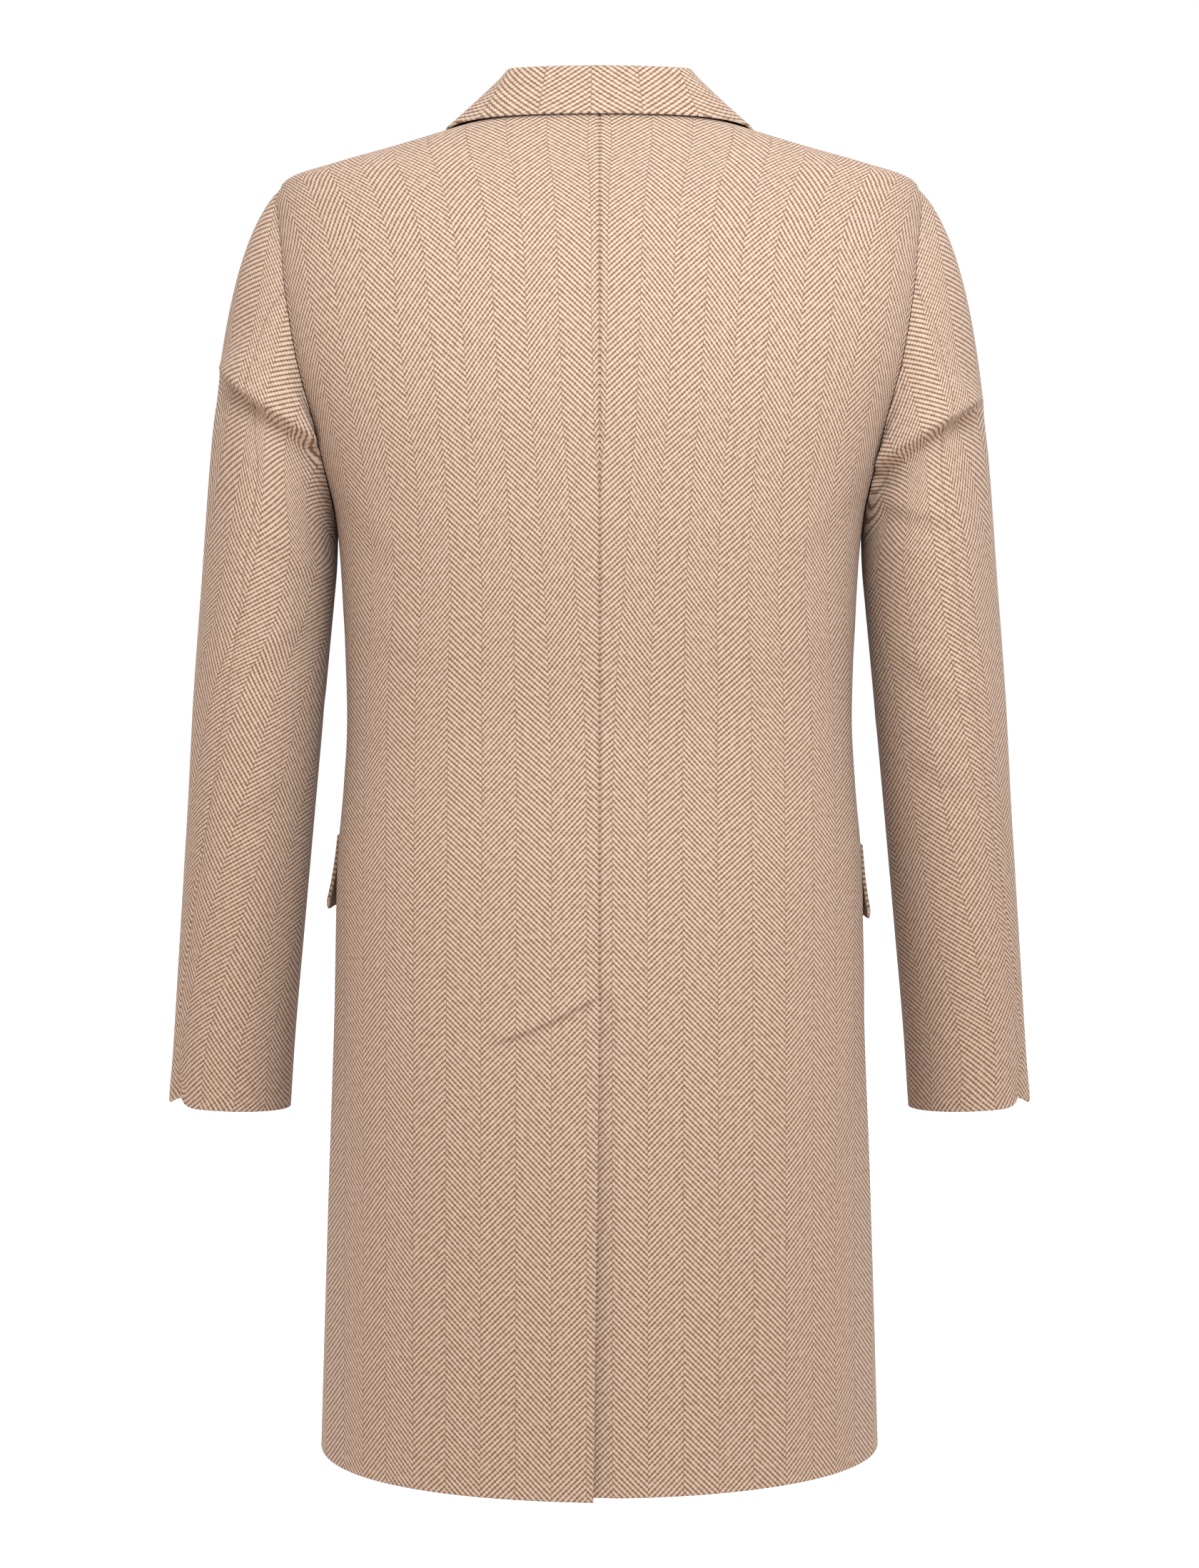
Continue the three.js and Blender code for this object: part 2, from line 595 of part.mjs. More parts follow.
function collarFallGrid() {
  return bothHalves(COLLAR_STEPS.map((u) => FALL_ROWS.map((v) => {
    const surface = (a, b) => fallPoint(Math.abs(a), b);
    const normal = normalOf(surface, clamp(u, 0.01, 1.99), clamp(v, -0.98, 0.98), 0.01, 0.02);
    const frame = collarFrame(u);
    const facing = v < 0
      ? arcPoint(frame, mix(FALL_ARC.leaf, FALL_ARC.stand, -v)).sub(frame.centre)
      : frame.out.clone().add(frame.up);
    if (normal.dot(facing) < 0) normal.negate();
    if (u === 0) normal.setX(0).normalize();
    return { point: fallPoint(u, v), normal };
  })));
}

function collarStandGrid() {
  return bothHalves(COLLAR_STEPS.map((u) => {
    const frame = collarFrame(u);
    const bottom = frame.seam.point.clone().addScaledVector(frame.seam.normal, -CLOTH);
    const top = arcPoint(frame, 180).addScaledVector(frame.up, -STAND_ROOM.top);
    const inwardTop = frame.out.clone().negate();
    const inwardBottom = frame.seam.normal.clone().negate();
    return steps(3).map((v) => {
      const point = bottom.clone().lerp(top, v);
      const normal = inwardBottom.clone().lerp(inwardTop, ease(between(v, 0, 0.67))).normalize();
      if (v === 0) point.addScaledVector(frame.up, STAND_ROOM.bottom);
      return { point, normal };
    });
  }));
}

// Lapel: t runs down the roll line, v from the roll line to the outer edge
function lapelOuter(t) {
  const a = (1 - t) ** 2;
  const b = 2 * t * (1 - t);
  const c = t * t;
  return {
    x: a * PEAK.x + b * LAPEL_BELLY.x - c * FRONT_EDGE,
    z: a * PEAK.z + b * LAPEL_BELLY.z + c * BREAK,
  };
}

function lapelPlace(t, v) {
  const roll = rollLine(t);
  const outer = lapelOuter(t);
  const fade = Math.exp(-t / GORGE_SHARE);
  const toNotch = between(v, 0, NOTCH_SHARE.lapel);
  const toPeak = between(v, NOTCH_SHARE.lapel, 1);
  const gorge = {
    x: mix(mix(ROLL_TOP.x, NOTCH.x, toNotch), PEAK.x, toPeak),
    z: mix(mix(ROLL_TOP.z, NOTCH.z, toNotch), PEAK.z, toPeak),
  };
  const x = mix(roll.x, outer.x, v) + fade * (gorge.x - mix(ROLL_TOP.x, PEAK.x, v));
  const z = mix(roll.z, outer.z, v) + fade * (gorge.z - mix(ROLL_TOP.z, PEAK.z, v));
  return { x, z: z - GORGE_GAP * fade };
}

const LAPEL_ARC = [270, 225, 180, 130];

// The lapel has a line at each line of the front that it is turned back from
function lapelRows() {
  const shares = boundaryRows(1).filter((v) => v > 1).map((v) => {
    const { x } = frontInner(v);
    return (ROLL_TOP.x - x) / (ROLL_TOP.x + FRONT_EDGE);
  });
  return shares.reverse();
}

function lapelGrid(isOver) {
  return lapelRows().map((t) => {
    const start = lapelPlace(t, 0);
    const base = onFront(angleAt(start.x, start.z, -1), start.z, isOver, 0);
    const next = lapelPlace(t, 0.12);
    const toward = onFront(angleAt(next.x, next.z, -1), next.z, isOver, 0).point.sub(base.point);
    const out = toward.addScaledVector(base.normal, -toward.dot(base.normal)).normalize();
    const radius = FOLD_RADIUS;
    const setback = SEAM_GAP + FOLD_SETBACK.most * Math.exp(-t / FOLD_SETBACK.share);
    const centre = base.point.clone()
      .addScaledVector(base.normal, radius - CLOTH).addScaledVector(out, -setback);
    const arc = LAPEL_ARC.map((degrees) => {
      const normal = out.clone().multiplyScalar(Math.cos(degrees * RADIANS))
        .addScaledVector(base.normal, Math.sin(degrees * RADIANS));
      return { point: centre.clone().addScaledVector(normal, radius), normal };
    });
    const flat = [0.04, 0.2, 0.35, 0.5, 0.67, 0.84, 1].map((v) => {
      const place = lapelPlace(t, v);
      const lift = mix(2 * radius - CLOTH, FALL_LIFT - 0.4, v);
      return onFront(angleAt(place.x, place.z, -1), place.z, isOver, lift);
    });
    return [...arc, ...flat];
  });
}

// Pocket flap on one front, hanging from a slightly sloping line, its lower corners rounded
function flapGrid({ rear, front, topRear, topFront, flare }) {
  const columns = [0, 0.03, 0.08, 0.2, 0.35, 0.5, 0.65, 0.8, 0.92, 0.97, 1];
  return [0, 0.2, 0.5, 0.8, 1].map((v) => columns.map((u) => {
    const angle = mix(rear, front, u);
    const top = mix(topRear, topFront, u);
    const fromEnd = Math.min(u, 1 - u) * FLAP.width;
    const round = fromEnd < FLAP.corner
      ? FLAP.corner - Math.sqrt(FLAP.corner ** 2 - (FLAP.corner - fromEnd) ** 2)
      : 0;
    const z = top - v * (FLAP.depth - 0.7 * round);
    const lift = CLOTH + LAYER_GAP + flare * v * v * (1 + 0.6 * (1 - u));
    return onBody(angle, z, lift);
  }));
}

// A sewn-on button with a raised rim, turned on its own axis
function buttonGeometry() {
  const rim = BUTTON_RADIUS;
  const half = BUTTON_THICK / 2;
  const profile = [
    [0, -half], [rim * BUTTON_SEAT, -half], [rim * 0.94, -half * 0.35], [rim, half * 0.3],
    [rim * 0.95, half * 0.85], [rim * 0.84, half], [rim * 0.7, half * 0.55], [0, half * 0.4],
  ].map(([x, y]) => new THREE.Vector2(x, y));
  const geometry = new THREE.LatheGeometry(profile, 16);
  geometry.rotateX(Math.PI / 2);
  return geometry;
}

// Seats a button flat on the left front, its back face just clear of the highest cloth under it
function placedButton(name, x, z, front) {
  const ray = new THREE.Raycaster();
  const clothAt = (across, up) => {
    ray.set(new THREE.Vector3(x + across, -400, z + up), new THREE.Vector3(0, 1, 0));
    return ray.intersectObject(front)[0].point;
  };
  const seat = BUTTON_RADIUS * BUTTON_SEAT;
  const middle = clothAt(0, 0);
  const across = clothAt(seat, 0).sub(clothAt(-seat, 0));
  const upward = clothAt(0, seat).sub(clothAt(0, -seat));
  const normal = across.cross(upward).normalize();
  const heights = steps(8).map((share) => {
    const turn = 2 * Math.PI * share;
    return clothAt(seat * Math.cos(turn), seat * Math.sin(turn)).sub(middle).dot(normal);
  });
  const lift = Math.max(0, ...heights) + BUTTON_THICK / 2 + BUTTON_STANDOFF;
  const mesh = new THREE.Mesh(buttonGeometry(), material(0x3c2a1f, 0.35));
  mesh.name = name;
  mesh.quaternion.setFromUnitVectors(UP, normal);
  mesh.position.copy(middle).addScaledVector(normal, lift);
  return mesh;
}

function material(color, roughness) {
  return new THREE.MeshStandardMaterial({ color, roughness, metalness: 0 });
}

const coat = new THREE.Group();

function sew(name, grid, color = 0xc3a791) {
  const mesh = new THREE.Mesh(clothWall(grid), material(color, 0.9));
  mesh.name = name;
  coat.add(mesh);
  return mesh;
}

sew('back_left', trimmed(backGrid(false), ['start', 'end', 'last']));
sew('back_right', mirrored(trimmed(backGrid(true), ['start', 'end', 'last'])));
const leftFront = sew('front_left', trimmed(frontGrid(true), ['start', 'last']));
sew('front_right', mirrored(trimmed(frontGrid(false), ['start', 'last'])));
for (const [label, side] of [['left', 1], ['right', -1]]) {
  const turned = (grid) => (side > 0 ? grid : mirrored(grid));
  for (const [half, turns] of [['top', topTurns], ['under', underTurns]]) {
    const grid = trimmed(sleeveGrid(side, SLEEVE_ROWS, turns), ['start', 'end']);
    sew(`sleeve_${half}_${label}`, turned(grid), 0xb99c84);
  }
}
sew('collar_fall', collarFallGrid(), 0xcbb09c);
sew('collar_stand', collarStandGrid(), 0xcbb09c);
sew('lapel_left', lapelGrid(true), 0xcbb09c);
sew('lapel_right', mirrored(lapelGrid(false)), 0xcbb09c);
sew('pocket_flap_left', flapGrid(FLAP_LEFT), 0xcbb09c);
sew('pocket_flap_right', mirrored(flapGrid(FLAP_RIGHT)), 0xcbb09c);
for (const [row, z] of BUTTON_ROWS.entries()) {
  coat.add(placedButton(`button_lap_${row + 1}`, -BUTTON_COLUMN, z, leftFront));
  coat.add(placedButton(`button_body_${row + 1}`, BUTTON_COLUMN, z, leftFront));
}

export default coat;
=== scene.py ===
# %% [markdown]
# A double-breasted herringbone coat, seen from behind, filled out as if someone wore it.
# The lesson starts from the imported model: its solids fix the size and the place of every panel.
# They stay hidden under finer cloth that is made here, so nothing can drift away from them.

# %% Load the frame
import bpy
import numpy as np
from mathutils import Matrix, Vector


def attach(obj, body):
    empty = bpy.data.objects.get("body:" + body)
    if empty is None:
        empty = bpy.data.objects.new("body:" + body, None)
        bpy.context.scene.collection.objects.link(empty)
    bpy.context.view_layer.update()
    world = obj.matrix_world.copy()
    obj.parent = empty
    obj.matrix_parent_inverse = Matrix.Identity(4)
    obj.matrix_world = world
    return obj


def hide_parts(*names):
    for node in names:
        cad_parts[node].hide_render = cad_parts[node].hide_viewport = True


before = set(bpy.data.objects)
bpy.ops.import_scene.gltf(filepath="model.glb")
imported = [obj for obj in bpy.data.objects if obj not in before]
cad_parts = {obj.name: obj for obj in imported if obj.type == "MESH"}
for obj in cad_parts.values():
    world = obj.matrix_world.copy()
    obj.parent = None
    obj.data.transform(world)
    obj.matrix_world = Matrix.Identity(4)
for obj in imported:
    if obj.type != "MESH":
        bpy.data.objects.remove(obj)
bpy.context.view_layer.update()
print("panels and buttons in the frame:", len(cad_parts))

# %% [markdown]
# A coat is cut from sizes, so the lesson keeps them in short tables with named columns.
# A curve through one column gives the size at any height. It could be a plain polyline, but then
# the side seams would show corners. A monotone cubic stays smooth and never bulges past its rows.

# %% Small helpers for tables and curves
MM = 0.001


def columns(names, rows):
    """A short table, as one array for each named column."""
    return dict(zip(names.split(), np.array(rows, float).T))


def between(value, start, end):
    return np.clip((np.asarray(value, float) - start) / (end - start), 0, 1)


def ease(share):
    return share * share * (3 - 2 * share)


def mix(a, b, share):
    return a + (b - a) * share


def curve_through(table, along, column):
    """A monotone cubic through one column of a table."""
    order = np.argsort(table[along])
    at = table[along][order]
    value = table[column][order]
    secant = np.diff(value) / np.diff(at)
    slope = np.concatenate([secant[:1], np.zeros(len(at) - 2), secant[-1:]])
    for i in range(1, len(at) - 1):
        if secant[i - 1] * secant[i] > 0:
            slope[i] = 2 * secant[i - 1] * secant[i] / (secant[i - 1] + secant[i])

    def curve(place):
        place = np.asarray(place, float)
        i = np.clip(np.searchsorted(at, place, side="right") - 1, 0, len(at) - 2)
        span = at[i + 1] - at[i]
        t = np.clip((place - at[i]) / span, 0, 1)
        near = (1 + 2 * t) * (1 - t) ** 2 * value[i] + t * (1 - t) ** 2 * span * slope[i]
        far = t * t * (3 - 2 * t) * value[i + 1] + t * t * (t - 1) * span * slope[i + 1]
        below = slope[0] * np.minimum(place - at[0], 0)
        above = slope[-1] * np.maximum(place - at[-1], 0)
        return near + far + below + above

    return curve


example = curve_through(columns("z size", [(0, 0), (50, 40), (100, 50)]), "z", "size")
print("a curve through sizes 0, 40 and 50 passes", round(float(example(75)), 1), "between the last two")

# %% [markdown]
# The body of the coat is a stack of level sections: a half width, a depth behind, a depth in front
# and how square the section is. Lofting traced outlines would also work, but every outline would
# need its own points; four sizes for each level are easier to read and to change.

# %% The body of the coat
BODY = columns("z half back front square", [
    (22, 36, 46, 32, 2.2), (8, 77, 52, 40, 2.2), (-3.4, 114, 59, 53, 2.25), (-15.8, 155, 65, 63, 2.3),
    (-28, 197, 71, 72, 2.4), (-38.6, 227, 78, 81, 2.5), (-43, 231, 81, 85, 2.5), (-60, 235, 88, 95, 2.6),
    (-100, 235, 104, 113, 2.8), (-130, 233, 113, 122, 2.95), (-171, 226, 122, 131, 3.0),
    (-230, 206, 128, 136, 2.95), (-285, 190, 128, 136, 2.8), (-320, 186.5, 126, 134.5, 2.7),
    (-366, 184.2, 121.5, 131, 2.65), (-428, 182.2, 117, 128, 2.6), (-475, 184.8, 121, 129, 2.5),
    (-532, 189.5, 130, 132, 2.4), (-594, 191, 138.5, 136, 2.3), (-719, 194.6, 151, 145, 2.15),
    (-843, 198.4, 160, 153, 2.05), (-960, 201.7, 168, 160, 2.0),
])
body_half = curve_through(BODY, "z", "half")
body_back = curve_through(BODY, "z", "back")
body_front = curve_through(BODY, "z", "front")
body_square = curve_through(BODY, "z", "square")


def body_point(angle, z):
    """A place on the body: angle 0 is the wearer's left side, 90 the centre back, in millimetres."""
    c = np.cos(np.radians(angle))
    s = np.sin(np.radians(angle))
    n = body_square(z)
    r = (np.abs(c) ** n + np.abs(s) ** n) ** (-1 / n)
    depth = np.where(s > 0, body_back(z), body_front(z))
    return np.stack([body_half(z) * c * r, depth * s * r, z + 0 * c], axis=-1)


def unit(vectors):
    return vectors / np.maximum(np.linalg.norm(vectors, axis=-1, keepdims=True), 1e-12)


def normal_of(surface, u, v, du, dv):
    """The direction a surface faces, from the places close round each one."""
    across = surface(u + du, v) - surface(u - du, v)
    along = surface(u, v + dv) - surface(u, v - dv)
    return unit(np.cross(across, along))


def body_normal(angle, z):
    return normal_of(body_point, angle, z, 0.2, 0.4)


def angle_at(x, z, face):
    """The angle of a place on the back (face 1) or front (face -1), x from the centre line."""
    n = body_square(z)
    across = np.clip(x / body_half(z), -1, 1)
    deep = (1 - np.abs(across) ** n) ** (1 / n)
    return np.degrees(np.arctan2(face * deep, across))


print("the body is", 2 * float(body_half(-100)), "mm wide across the armholes")

# %% [markdown]
# Where one panel ends, the next one starts: the armhole, the shoulder and the side seam are shared.
# The armhole is a closed curve that is stated once and used by the back, the front and the sleeve.

# %% Shared seams
HEM = -953.5
HEM_SIDE = -950
HEM_DROP_LEFT = 2.5
UNDERARM = -285
SHOULDER_TIP = -41
NECK_POINT = 8
YOKE_BACK = -80
ARMHOLE_BACK = 29
ARMHOLE_FRONT = 31


def armhole_at(turn):
    """Angle and height on the armhole: turn 0 is the shoulder tip, 90 behind, 180 underarm."""
    s = np.sin(np.radians(turn))
    angle = np.where(s > 0, ARMHOLE_BACK, ARMHOLE_FRONT) * s
    middle = (SHOULDER_TIP + UNDERARM) / 2
    return angle, middle + (SHOULDER_TIP - UNDERARM) / 2 * np.cos(np.radians(turn))


def outer_boundary(v, face):
    """Side seam for v from 0 to 1, armhole from 1 to 2 and shoulder seam from 2 to 3."""
    turn = np.where(face > 0, 180 * (2 - v), 180 * v)
    hole_angle, hole_z = armhole_at(np.clip(v, 1, 2) * 0 + turn)
    on_side = v <= 1
    on_hole = (v > 1) & (v <= 2)
    side_z = mix(HEM_SIDE, UNDERARM, v)
    shoulder_z = mix(SHOULDER_TIP, NECK_POINT, v - 2)
    z = np.where(on_side, side_z, np.where(on_hole, hole_z, shoulder_z))
    return np.where(on_hole, hole_angle, 0.0), z


print("the armhole is", SHOULDER_TIP - UNDERARM, "mm high, and the hem hangs", -HEM, "mm below the collar")

# %% [markdown]
# A colour picker gives sRGB values, but Blender works in linear light, so one function turns them.
# Another adds a node with its settings and links: a material is then a short list of such calls.

# %% Colours and nodes
def linear(hex_colour):
    """An sRGB hex colour as the linear red, green, blue and alpha that Blender works in."""
    channels = [int(hex_colour[i:i + 2], 16) / 255 for i in (1, 3, 5)]
    curved = [c / 12.92 if c <= 0.04045 else ((c + 0.055) / 1.055) ** 2.4 for c in channels]
    return (*curved, 1.0)


def add(tree, kind, settings=None, links=None):
    """Adds one node, sets its values, and joins its inputs to the outputs of others."""
    made = tree.nodes.new(kind)
    for key, value in (settings or {}).items():
        if isinstance(key, int) or key in made.inputs:
            made.inputs[key].default_value = value
        else:
            setattr(made, key, value)
    for key, source in (links or {}).items():
        output = source if isinstance(source, bpy.types.NodeSocket) else source.outputs[0]
        tree.links.new(output, made.inputs[key])
    return made


print("sRGB #808080 is", round(linear("#808080")[0], 3), "in linear light")

# %% [markdown]
# The cloth is a woollen herringbone overcoating in camel brown and cream. A herringbone is a twill
# whose diagonal turns back after every stripe, with a small break where it turns. It could be an
# image, but an image blurs close up. Here each rib is worked out from the yarn: the cloth's own
# coordinates, in real millimetres, tell which stripe and which rib a place is on. Each row of the
# table works out one value: its name, the operation, and what goes in, which is a number or an
# earlier value. A rib or a bead is 0 in its middle and 0.5 at its edge.

# %% The herringbone wool
STRIPE_WIDTH = 24.0
RIB_PITCH = 3.95
RIB_SLOPE = 1.0
RIB_SHARPNESS = 3.0
BEAD_PITCH = 1.85
BEAD_SLANT = 0.9
BEAD_SHARPNESS = 1.9
BREAK_WIDTH = 0.4
BREAK_DEPTH = 0.4
YARN_LOW = -0.7
YARN_SPAN = 1.2
FIBRE_SCALE = 900.0
FIBRE_STRENGTH = 0.7
FIBRE_RELIEF = 0.35
SLUB_SCALE = 260.0
SLUB_STRENGTH = 1.1
RELIEF_STRENGTH = 0.5
RELIEF_DEPTH = 0.4
BROWN_YARN = "#6d4c34"
CREAM_YARN = "#b69883"
WEAVE = [
    ("across", "DIVIDE", "x", STRIPE_WIDTH * MM),
    ("stripe", "FLOOR", "across"),
    ("parity", "FLOORED_MODULO", "stripe", 2.0),
    ("direction", "MULTIPLY_ADD", "parity", -2.0, 1.0),
    ("share", "SUBTRACT", "across", "stripe"),
    ("place", "MULTIPLY", "share", STRIPE_WIDTH),
    ("turned", "MULTIPLY", "place", "direction"),
    ("rise", "MULTIPLY", "turned", RIB_SLOPE / RIB_PITCH),
    ("along", "DIVIDE", "y", RIB_PITCH * MM),
    ("climb", "ADD", "rise", "along"),
    ("phase", "MULTIPLY_ADD", "parity", 0.5, "climb"),
    ("rib_share", "FRACT", "phase"),
    ("rib", "SUBTRACT", "rib_share", 0.5),
    ("slant", "MULTIPLY", "rib", "direction"),
    ("bead_number", "DIVIDE", "place", BEAD_PITCH),
    ("bead_place", "MULTIPLY_ADD", "slant", -BEAD_SLANT, "bead_number"),
    ("bead_share", "FRACT", "bead_place"),
    ("bead", "SUBTRACT", "bead_share", 0.5),
    ("rib_scaled", "MULTIPLY", "rib", RIB_SHARPNESS),
    ("rib_fall", "POWER", "rib_scaled", 2.0),
    ("bead_scaled", "MULTIPLY", "bead", BEAD_SHARPNESS),
    ("bead_fall", "POWER", "bead_scaled", 2.0),
    ("fall", "ADD", "rib_fall", "bead_fall"),
    ("yarn_height", "SUBTRACT", 1.0, "fall"),
    ("far_edge", "SUBTRACT", STRIPE_WIDTH, "place"),
    ("to_edge", "MINIMUM", "place", "far_edge"),
    ("edge_share", "DIVIDE", "to_edge", BREAK_WIDTH),
    ("edge_near", "MINIMUM", "edge_share", 1.0),
    ("edge_gap", "SUBTRACT", 1.0, "edge_near"),
    ("height", "MULTIPLY_ADD", "edge_gap", -BREAK_DEPTH, "yarn_height"),
    ("height_share", "MULTIPLY_ADD", "height", 1 / YARN_SPAN, -YARN_LOW / YARN_SPAN),
    ("height_floor", "MAXIMUM", "height_share", 0.0),
    ("height_clamped", "MINIMUM", "height_floor", 1.0),
    ("height_square", "MULTIPLY", "height_clamped", "height_clamped"),
    ("height_turn", "MULTIPLY_ADD", "height_clamped", -2.0, 3.0),
    ("light", "MULTIPLY", "height_square", "height_turn"),
    ("slub_offset", "SUBTRACT", "slub", 0.5),
    ("slubby", "MULTIPLY_ADD", "slub_offset", SLUB_STRENGTH, "light"),
    ("fibre_offset", "SUBTRACT", "fibre", 0.5),
    ("cream", "MULTIPLY_ADD", "fibre_offset", FIBRE_STRENGTH, "slubby"),
    ("relief", "MULTIPLY_ADD", "fibre", FIBRE_RELIEF, "light"),
]


def herringbone_wool():
    """Woollen herringbone, loosely spun and slightly napped, so it looks dry, soft and uneven."""
    wool = bpy.data.materials.new("herringbone wool")
    wool.use_nodes = True
    tree = wool.node_tree
    tree.nodes.clear()
    grain = add(tree, "ShaderNodeUVMap", {"uv_map": "grain"})
    split = add(tree, "ShaderNodeSeparateXYZ", None, {"Vector": grain})
    fibre = add(tree, "ShaderNodeTexNoise", {"Scale": FIBRE_SCALE, "Detail": 2.0}, {"Vector": grain})
    slub = add(tree, "ShaderNodeTexNoise", {"Scale": SLUB_SCALE, "Detail": 3.0}, {"Vector": grain})
    values = {"x": split.outputs["X"], "y": split.outputs["Y"], "fibre": fibre, "slub": slub}
    for name, operation, *inputs in WEAVE:
        numbers = {i: value for i, value in enumerate(inputs) if not isinstance(value, str)}
        joins = {i: values[value] for i, value in enumerate(inputs) if isinstance(value, str)}
        values[name] = add(tree, "ShaderNodeMath", {"operation": operation, **numbers}, joins)
    yarns = {"data_type": "RGBA", "clamp_factor": True, 6: linear(BROWN_YARN), 7: linear(CREAM_YARN)}
    colour = add(tree, "ShaderNodeMix", yarns, {0: values["cream"]})
    raised = {"Strength": RELIEF_STRENGTH, "Distance": RELIEF_DEPTH * MM}
    bump = add(tree, "ShaderNodeBump", raised, {"Height": values["relief"]})
    napped = {"Roughness": 0.92, "Specular IOR Level": 0.2, "Sheen Weight": 0.06, "Sheen Roughness": 0.6}
    look = {"Base Color": colour.outputs[2], "Normal": bump}
    surface = add(tree, "ShaderNodeBsdfPrincipled", napped, look)
    add(tree, "ShaderNodeOutputMaterial", None, {"Surface": surface})
    return wool


wool = herringbone_wool()
print("stripes", STRIPE_WIDTH, "mm wide, a rib every", RIB_PITCH, "mm")

# %% [markdown]
# Cloth is a wall: an outer face, an inner face a little inside it, and a rim between them. Blender's
# Solidify would do this too, but here each edge has to be told apart: at a seam the cloth is drawn
# in, and at a free edge it is turned under, so it ends in a soft round fold.

# %% A panel of cloth from a grid of places
CLOTH = 1.8
SEAM_DRAWN_IN = 0.8
ARMHOLE_DRAWN_IN = 0.08
SEAM_WIDTH = 1.2
SEAM_SHOULDER = 0.3
SEAM_EASE = 7.0
EDGE_STEPS = np.array([0, 0.35, 0.8, 1.4, 2.2, 3.4, 5.2])
GRID_STEP = 4.2


def shares(length, step=GRID_STEP, start=True, end=True):
    """Places along a panel about length mm long, close together near its two edges."""
    low = EDGE_STEPS if start else np.array([0.0])
    high = length - EDGE_STEPS[::-1] if end else np.array([float(length)])
    count = max(2, round((high[0] - low[-1]) / step) + 1)
    return np.concatenate([low, np.linspace(low[-1], high[0], count)[1:-1], high]) / length


def edge_of(points, side):
    if side == "start":
        return points[:, :1]
    if side == "end":
        return points[:, -1:]
    return points[:1] if side == "first" else points[-1:]


def drawn_in(points, seams):
    """How far the cloth sinks, in millimetres, near each seam: seams gives the depth at each side."""
    sunk = np.zeros(points.shape[:2])
    for side, depth in seams.items():
        away = np.linalg.norm(points - edge_of(points, side), axis=-1)
        sunk = sunk + depth * np.exp(-((away / SEAM_WIDTH) ** 2))
        sunk = sunk + SEAM_SHOULDER * np.exp(-((away / SEAM_EASE) ** 2))
    return sunk


def turned_under(points, sides, radius):
    """How far each face moves towards the middle of the wall near a folded free edge."""
    inset = np.zeros(points.shape[:2])
    for side in sides:
        away = np.linalg.norm(points - edge_of(points, side), axis=-1)
        left = 1 - np.clip(away / radius, 0, 1)
        inset = np.maximum(inset, radius * (1 - np.sqrt(1 - left**2)))
    return inset


def wall_faces(rows, cols, flipped):
    """Quads of the outer face, the inner face and the rim of a wall."""
    index = np.arange(rows * cols).reshape(rows, cols)
    under = index + rows * cols
    a, b, c, d = index[:-1, :-1], index[:-1, 1:], index[1:, 1:], index[1:, :-1]
    outer = np.stack([a, b, c, d], -1).reshape(-1, 4)
    inner = outer[:, ::-1] + rows * cols
    loop = np.concatenate([index[0, :-1], index[:-1, -1], index[-1, :0:-1], index[:0:-1, 0]])
    inside = np.concatenate([under[0, :-1], under[:-1, -1], under[-1, :0:-1], under[:0:-1, 0]])
    rim = np.stack([np.roll(loop, -1), loop, inside, np.roll(inside, -1)], -1)
    faces = np.concatenate([outer, inner, rim])
    return faces[:, ::-1] if flipped else faces


def panel(name, nodes, points, normals, grain, seams, free=(), thick=CLOTH):
    """Makes one panel of cloth that replaces CAD nodes. Grain is its weave's place in mm."""
    sunk = drawn_in(points, seams)[..., None]
    inset = turned_under(points, free, thick / 2)[..., None]
    outer = points - normals * (sunk + inset)
    inner = points - normals * (sunk + thick - inset)
    rows, cols = points.shape[:2]
    across = points[rows // 2, cols // 2 + 1] - points[rows // 2, cols // 2]
    along = points[rows // 2 + 1, cols // 2] - points[rows // 2, cols // 2]
    flipped = np.dot(np.cross(across, along), normals[rows // 2, cols // 2]) < 0
    faces = wall_faces(rows, cols, flipped)
    mesh = bpy.data.meshes.new(name)
    places = np.concatenate([outer.reshape(-1, 3), inner.reshape(-1, 3)]) * MM
    mesh.from_pydata(places.tolist(), [], faces.tolist())
    corners = np.empty(len(mesh.loops), dtype=np.int64)
    mesh.loops.foreach_get("vertex_index", corners)
    weave = np.concatenate([grain.reshape(-1, 2), grain.reshape(-1, 2)]) * MM
    layer = mesh.uv_layers.new(name="grain")
    layer.data.foreach_set("uv", weave[corners].astype(np.float32).ravel())
    mesh.polygons.foreach_set("use_smooth", np.ones(len(mesh.polygons), dtype=bool))
    mesh.update()
    made = bpy.data.objects.new(name, mesh)
    bpy.context.scene.collection.objects.link(made)
    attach(made, "root")
    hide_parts(*nodes)
    made.data.materials.append(wool)
    print(name, "has", len(mesh.polygons), "faces")


def mirror(points, normals):
    flip = np.array([-1, 1, 1])
    return points * flip, normals * flip


def arc_along(points, axis):
    """Distance run along a grid of places, summed from its first row or column."""
    stride = np.linalg.norm(np.diff(points, axis=axis), axis=-1)
    start = np.zeros_like(np.take(stride, [0], axis=axis))
    return np.concatenate([start, np.cumsum(stride, axis=axis)], axis=axis)


print("the cloth is", CLOTH, "mm thick, in a grid about", GRID_STEP, "mm wide")

# %% [markdown]
# Worn cloth settles into creases. Simulated cloth would put them anywhere, so each one is placed
# with its own sizes: where it starts and ends, how far it sags in the middle, how high its roll
# stands above the crease, how deep the cloth dips below it and how sharply it turns between the two.

# %% Creases placed one by one
def table_rows(table):
    """The rows of a table, each with its sizes by name."""
    return [dict(zip(table, row)) for row in zip(*table.values())]


